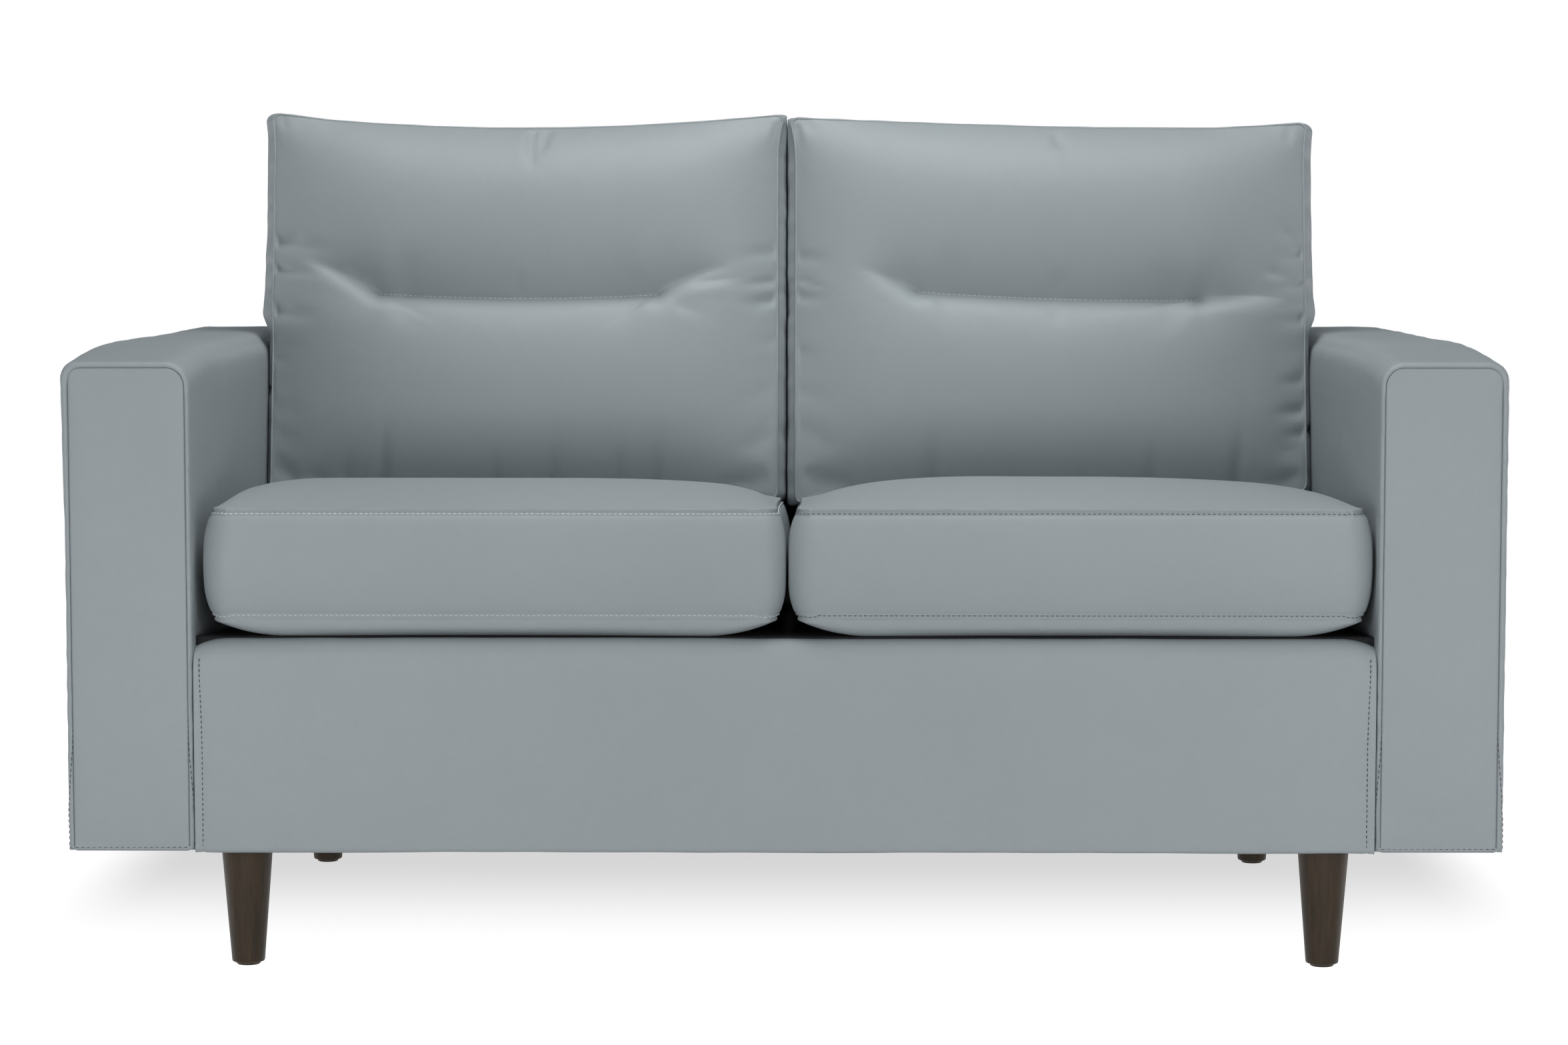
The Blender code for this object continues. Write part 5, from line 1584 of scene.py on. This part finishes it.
def make_webbing():
    """Elastic straps woven over and under each other on the fronts of the back's uprights.

    A strap stands out by a cosine of its run, whose waves fall on the crossings.
    """
    low, high = node_box("back_webbing")
    lean = math.tan(back_lean)
    wide, half_thick, lift, columns, rows = 0.050, 0.0003, 0.00034, 11, 6
    pitch_x = (high[0] - low[0] - wide) / (columns - 1)
    pitch_z = (high[2] - low[2] - wide) / (rows - 1)
    out = np.array([0.0, -1.0, lean]) / math.hypot(1, lean)
    up = np.array([0.0, lean, 1.0]) / math.hypot(1, lean)
    stations = 61

    def lay(x, z, raised):
        """Places on the leaning plane of the uprights' fronts, raised off it."""
        y = low[1] + 0.00075 + lean * (z - low[2])
        return join(x, y, z) + out * raised[..., None]

    k, z = np.arange(columns)[:, None], np.linspace(low[2], high[2], stations)
    raised = lift * np.cos(math.pi * (z - low[2] - wide / 2) / pitch_z) * (-1.0) ** k
    tall = lay(low[0] + wide / 2 + pitch_x * k, z, raised)
    j, x = np.arange(rows)[:, None], np.linspace(low[0], high[0], stations)
    raised = -lift * np.cos(math.pi * (x - low[0] - wide / 2) / pitch_x) * (-1.0) ** j
    level = lay(x, low[2] + wide / 2 + pitch_z * j, raised)
    right = np.array([1.0, 0.0, 0.0])
    shapes = [
        strap_shape(tall, right, out, wide / 2, half_thick),
        strap_shape(level, -up, out, wide / 2, half_thick),
    ]
    points, quads = join_shapes(shapes)
    piece = put_mesh("back_webbing_straps", points, quads, finish("webbing"), "frame")
    piece.data.set_sharp_from_angle(angle=math.radians(40))
    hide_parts("back_webbing")


def make_dust_cover():
    """The black cloth under the base: tacked round its hem and along the rails, sagging between.

    The sag is a squared sine across each half of the base and a half sine from front to rear.
    """
    low, high = node_box("dust_cover")
    low[1] += 0.014
    half_x, half_y = (high[0] - low[0]) / 2, (high[1] - low[1]) / 2
    middle_y = (low[1] + high[1]) / 2

    def sag(x, y):
        """How far the cloth hangs down, with faint ripples where it hangs free."""
        inner, outer = 0.012, 0.500
        run = np.clip((np.abs(x) - inner) / (outer - inner), 0, 1)
        depth = 0.0045 * np.sin(math.pi * run) ** 2 * np.cos(y / half_y * math.pi / 2) ** 0.7
        ripples = 0.0004 * soft_noise(x, y, 0.06, 91) * ease((half_y - np.abs(y)) / 0.05)
        return depth + ripples * ease(depth / 0.002)

    def panel(x, y, front):
        """The cloth's two faces. Below, the hem stands out as a second layer."""
        gap = np.minimum(half_x - np.abs(x), half_y - np.abs(y))
        hem = 0.00035 * (1 - ease((gap - 0.016) / 0.002))
        z = high[2] - (0.0001 if front > 0 else 0.0007 + hem) - sag(x, y)
        return join(x, y, z)

    def ring(x, y, out_x, out_y, share):
        """One loop round the edge, between the faces."""
        return join(x, y, high[2] - 0.0006)

    def lay(points):
        """Move the cloth to the base's middle."""
        return points + np.array([0.0, middle_y, 0.0])

    def spread_out(half):
        """Places from one edge to the other, fine beside the hem's folded edges."""
        hems = [(-half + 0.017, 0.0012, 0.02), (half - 0.017, 0.0012, 0.02)]
        return places(-half, half, 0.014, hems)

    xs, ys = spread_out(half_x), spread_out(half_y)
    form = Form(xs, ys, np.linspace(-1, 1, 3), even_radii(0.004), panel, ring, lay)
    piece = put_mesh("dust_cover_cloth", form.points(), form.quads(), finish("deck_cloth"), "frame")
    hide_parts("dust_cover")

    inset = 0.009
    turns = np.array([[-1, -1], [1, -1], [1, 1], [-1, 1], [-1, -1]])
    turns = turns * [half_x - inset, half_y - inset]
    path = np.concatenate([np.linspace(a, b, 200)[:-1] for a, b in zip(turns[:-1], turns[1:])])
    height = np.full(len(path), high[2] - 0.00105)
    path = np.column_stack([path[:, 0], path[:, 1] + middle_y, height])
    rows = [(path, np.tile([0.0, 0.0, -1.0], (len(path), 1)), True)]
    put_stitches("dust_cover_staples", rows, finish("steel"), "frame", "steel", *staple)


def make_deck_layer(node, material, turn_down):
    """The felt pad on the springs or the cloth over it, sloping 3 degrees to the rear.

    The front edge turns down over the front rail by turn_down, behind the base's cover.
    """
    low, high = node_box(node)
    thick = high[2] - low[2] - deck_fall * (high[1] - low[1])
    flat_low = np.array([low[0], low[1], high[2] - thick])

    def outline(y, z, x):
        """Slope the section to the rear, and turn its first 1.5 mm down by an S-curve."""
        turn = (1 - ease((y - low[1]) / 0.0015)) * (turn_down > 0)
        under = np.clip((high[2] - z) / thick, 0, 1)
        return y - 0.0010 * turn, z - deck_fall * (y - low[1]) - turn_down * turn * under

    def wave(x, y, z):
        """Even: nothing stands out."""
        return 0.0

    radii = even_radii(thick * 0.3)
    piece = put_across(f"{node}_skin", flat_low, high, radii, outline, wave, finish(material))
    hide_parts(node)


# The finish of the nodes that stay, by their material slot.
node_finishes = {
    "lining": "deck_cloth",
    "webbing": "webbing",
    "zip": "zip_plastic",
    "frame_wood": "frame_timber",
    "steel": "steel",
    "foam": "foam",
    "felt": "felt",
    "cover": "faux_leather",
    "leg_wood": "stained_wood",
}


# Operators


class SOFA_OT_arms(bpy.types.Operator):
    """Cover both arms and sew on their front panels"""

    bl_idname = "sofa.arms"
    bl_label = "Arms"

    def execute(self, context):
        for name, side in sides:
            make_arm(name, side, context.scene.sofa_sizes)
        return {"FINISHED"}


class SOFA_OT_base_front(bpy.types.Operator):
    """Cover the front of the base"""

    bl_idname = "sofa.base_front"
    bl_label = "Base front"

    def execute(self, context):
        make_base_front(context.scene.sofa_sizes)
        return {"FINISHED"}


class SOFA_OT_back(bpy.types.Operator):
    """Cover the inside and the outside of the back frame"""

    bl_idname = "sofa.back"
    bl_label = "Back frame covers"

    def execute(self, context):
        make_back_inner_cover()
        make_back_outer_cover(context.scene.sofa_sizes)
        return {"FINISHED"}


class SOFA_OT_seat_cushions(bpy.types.Operator):
    """Make the two boxed seat cushions"""

    bl_idname = "sofa.seat_cushions"
    bl_label = "Seat cushions"

    def execute(self, context):
        for name, side in sides:
            make_seat_cushion(name, side, context.scene.sofa_sizes)
        return {"FINISHED"}


class SOFA_OT_back_cushions(bpy.types.Operator):
    """Make the two back cushions with their sewn channels"""

    bl_idname = "sofa.back_cushions"
    bl_label = "Back cushions"

    def execute(self, context):
        for name, side in sides:
            make_back_cushion(name, side, context.scene.sofa_sizes)
        return {"FINISHED"}


class SOFA_OT_legs(bpy.types.Operator):
    """Turn the four tapered legs"""

    bl_idname = "sofa.legs"
    bl_label = "Legs"

    def execute(self, context):
        for row in ("front", "rear"):
            for name, _ in sides:
                make_leg(f"{row}_leg_{name}")
        return {"FINISHED"}


class SOFA_OT_deck(bpy.types.Operator):
    """Lay the felt pad and the deck cloth on the springs"""

    bl_idname = "sofa.deck"
    bl_label = "Deck"

    def execute(self, context):
        make_deck_layer("seat_insulator_pad", "felt", 0.0)
        make_deck_layer("seat_deck_cloth", "deck_cloth", 0.016)
        return {"FINISHED"}


class SOFA_OT_webbing(bpy.types.Operator):
    """Weave the elastic straps of the back"""

    bl_idname = "sofa.webbing"
    bl_label = "Webbing"

    def execute(self, context):
        make_webbing()
        return {"FINISHED"}


class SOFA_OT_dust_cover(bpy.types.Operator):
    """Staple the dust cover under the base"""

    bl_idname = "sofa.dust_cover"
    bl_label = "Dust cover"

    def execute(self, context):
        make_dust_cover()
        return {"FINISHED"}


class SOFA_OT_inner_frame(bpy.types.Operator):
    """Give the timber, springs, bolts and cloths that stay their finishes"""

    bl_idname = "sofa.inner_frame"
    bl_label = "Inner frame"

    def execute(self, context):
        slots = {part["node"]: part["material_slot"] for part in frame["record"]["subparts"]}
        for name, node in frame["nodes"].items():
            if node.hide_render:
                continue
            node.data.materials.clear()
            node.data.materials.append(finish(node_finishes[slots[name]]))
        return {"FINISHED"}


class SOFA_OT_studio(bpy.types.Operator):
    """Set the floor, the lights and the camera"""

    bl_idname = "sofa.studio"
    bl_label = "Studio"

    def execute(self, context):
        studio = context.scene.sofa_studio
        make_floor()
        make_lights(studio)
        make_camera(studio)
        return {"FINISHED"}


def make_floor():
    """A pale floor that shows as plain white, with a painted soft shadow under the sofa.

    The camera and mirror rays see a faint real shadow on top of a glow. The glow is dimmed
    under the sofa by the product of S-curves across its width and its depth: a painted shadow.
    """
    reach = 40.0
    corners = [(-reach, -reach, 0), (reach, -reach, 0), (reach, reach, 0), (-reach, reach, 0)]
    mesh = bpy.data.meshes.new("studio_floor")
    mesh.from_pydata(corners, [], [(0, 1, 2, 3)])
    floor = bpy.data.objects.new("studio_floor", mesh)
    bpy.context.scene.collection.objects.link(floor)
    material = bpy.data.materials.new("pale_floor")
    material.use_nodes = True
    tree = material.node_tree
    tree.nodes.clear()
    rays = add_node(tree, "ShaderNodeLightPath").outputs
    seen = combine(tree, "MAXIMUM", rays["Is Camera Ray"], rays["Is Glossy Ray"])
    seen = combine(tree, "MAXIMUM", seen, rays["Is Transmission Ray"])
    place = add_node(tree, "ShaderNodeSeparateXYZ", [("Vector", object_place(tree))]).outputs
    # Painted shadow: the glow is dimmed by where a point lies under the sofa, not by the lamps.
    width = combine(tree, "ABSOLUTE", place["X"])
    painted_shadow = spread(tree, width, 0.0, 1.0, 0.90, 0.76, "SMOOTHSTEP")
    for start, stop in ((-0.30, 0.32), (0.85, 0.40)):
        share = spread(tree, place["Y"], 0.0, 1.0, start, stop, "SMOOTHSTEP")
        painted_shadow = combine(tree, "MULTIPLY", share, painted_shadow)
    level = [("Strength", spread(tree, painted_shadow, 1.0, 0.655))]
    glow = add_node(tree, "ShaderNodeEmission", level, Color=(1, 1, 1, 1)).outputs[0]
    shade = add_node(tree, "ShaderNodeBsdfDiffuse", Color=(0.10, 0.10, 0.10, 1)).outputs[0]
    bright = add_node(tree, "ShaderNodeAddShader", [(0, shade), (1, glow)]).outputs[0]
    plain = add_node(tree, "ShaderNodeBsdfDiffuse", Color=(0.50, 0.50, 0.50, 1)).outputs[0]
    both = add_node(tree, "ShaderNodeMixShader", [("Fac", seen), (1, plain), (2, bright)])
    add_node(tree, "ShaderNodeOutputMaterial", [("Surface", both.outputs[0])])
    mesh.materials.append(material)


def make_lights(studio):
    """An even, faintly blue air that shows as white, and the studio's soft lamps."""
    scene = bpy.context.scene
    world = bpy.data.worlds.new("studio_air")
    scene.world = world
    world.use_nodes = True
    tree = world.node_tree
    tree.nodes.clear()
    seen = add_node(tree, "ShaderNodeLightPath").outputs["Is Camera Ray"]
    ambient = {"Color": (*studio.ambient_tint, 1), "Strength": studio.ambient}
    even = add_node(tree, "ShaderNodeBackground", **ambient).outputs[0]
    white = add_node(tree, "ShaderNodeBackground", Color=(1, 1, 1, 1), Strength=1.0).outputs[0]
    both = add_node(tree, "ShaderNodeMixShader", [("Fac", seen), (1, even), (2, white)])
    add_node(tree, "ShaderNodeOutputWorld", [("Surface", both.outputs[0])])

    # Name, place, the point it faces, width and height, and power.
    lamps = (
        ("top_light", (0.0, -0.3, 3.2), (0.0, -0.3, 0.0), (1.6, 1.2), studio.top_power),
        ("front_light", (0.0, -3.2, 0.3), (0.0, 0.0, 0.4), (2.0, 0.5), studio.front_power),
        ("left_fill", (-1.24, -2.66, 1.12), (0.0, 0.0, 0.5), (1.0, 1.0), studio.side_power),
        ("right_fill", (1.24, -2.66, 1.12), (0.0, 0.0, 0.5), (1.0, 1.0), studio.side_power),
        ("high_fill", (2.13, -1.23, 2.22), (0.0, 0.0, 0.5), (1.0, 1.0), studio.side_power * 1.2),
        ("near_top", (0.1, -0.7, 2.2), (0.05, 0.1, 0.6), (0.8, 0.8), studio.near_power),
        ("left_low", (-1.1, -1.7, 0.35), (-0.6, 0.0, 0.35), (0.5, 0.5), studio.low_power),
        ("right_low", (1.1, -1.7, 0.35), (0.6, 0.0, 0.35), (0.5, 0.5), studio.low_power),
        ("left_side", (-2.8, 0.6, 0.45), (-0.76, 0.1, 0.42), (1.0, 0.5), studio.round_power),
        ("right_side", (2.8, 0.6, 0.45), (0.76, 0.1, 0.42), (1.0, 0.5), studio.round_power),
        ("rear", (0.0, 3.2, 0.55), (0.0, 0.43, 0.5), (2.0, 0.6), studio.round_power * 2.0),
    )
    for name, place, aim, size, power in lamps:
        lamp = bpy.data.lights.new(name, "AREA")
        lamp.shape = "RECTANGLE"
        lamp.size, lamp.size_y = size
        lamp.energy = power
        holder = bpy.data.objects.new(name, lamp)
        holder.location = place
        holder.rotation_euler = (Vector(aim) - Vector(place)).to_track_quat("-Z", "Y").to_euler()
        scene.collection.objects.link(holder)


def make_camera(studio):
    """The camera at the photograph's place and angle."""
    scene = bpy.context.scene
    scene.view_settings.view_transform = "Standard"
    camera = bpy.data.cameras.new("front_camera")
    camera.lens, camera.sensor_width = studio.lens, 36.0
    camera.clip_end = 200.0
    holder = bpy.data.objects.new("front_camera", camera)
    holder.location = (0.037, -4.316, 0.797)
    holder.rotation_euler = (math.radians(85.4), 0, math.radians(0.545))
    scene.collection.objects.link(holder)
    scene.camera = holder


class SOFA_PT_panel(bpy.types.Panel):
    """Lists the sofa's sizes, colours and steps"""

    bl_idname = "SOFA_PT_panel"
    bl_label = "Sofa"
    bl_space_type = "VIEW_3D"
    bl_region_type = "UI"
    bl_category = "Sofa"

    def draw(self, context):
        """Every property of the three groups, then a button for every step."""
        scene = context.scene
        for group in (scene.sofa_sizes, scene.sofa_colours, scene.sofa_studio):
            column = self.layout.column()
            for key in group.__annotations__:
                column.prop(group, key)
        for operator in operators:
            self.layout.operator(operator.bl_idname)


operators = (
    SOFA_OT_arms,
    SOFA_OT_base_front,
    SOFA_OT_back,
    SOFA_OT_seat_cushions,
    SOFA_OT_back_cushions,
    SOFA_OT_legs,
    SOFA_OT_deck,
    SOFA_OT_webbing,
    SOFA_OT_dust_cover,
    SOFA_OT_inner_frame,
    SOFA_OT_studio,
)
groups = (
    ("sofa_sizes", SofaSizes),
    ("sofa_colours", SofaColours),
    ("sofa_studio", SofaStudio),
)


def register():
    """Register the groups with the scene, then the operators and the panel."""
    for name, group in groups:
        bpy.utils.register_class(group)
        setattr(bpy.types.Scene, name, bpy.props.PointerProperty(type=group))
    for operator in (*operators, SOFA_PT_panel):
        bpy.utils.register_class(operator)


def unregister():
    """Take everything away again, in the opposite order."""
    for operator in reversed((*operators, SOFA_PT_panel)):
        bpy.utils.unregister_class(operator)
    for name, group in reversed(groups):
        delattr(bpy.types.Scene, name)
        bpy.utils.unregister_class(group)


def main():
    """Dress the frame step by step."""
    register()
    bpy.ops.sofa.arms()
    bpy.ops.sofa.base_front()
    bpy.ops.sofa.back()
    bpy.ops.sofa.seat_cushions()
    bpy.ops.sofa.back_cushions()
    bpy.ops.sofa.legs()
    bpy.ops.sofa.deck()
    bpy.ops.sofa.webbing()
    bpy.ops.sofa.dust_cover()
    bpy.ops.sofa.inner_frame()
    bpy.ops.sofa.studio()


if __name__ == "__main__":
    main()
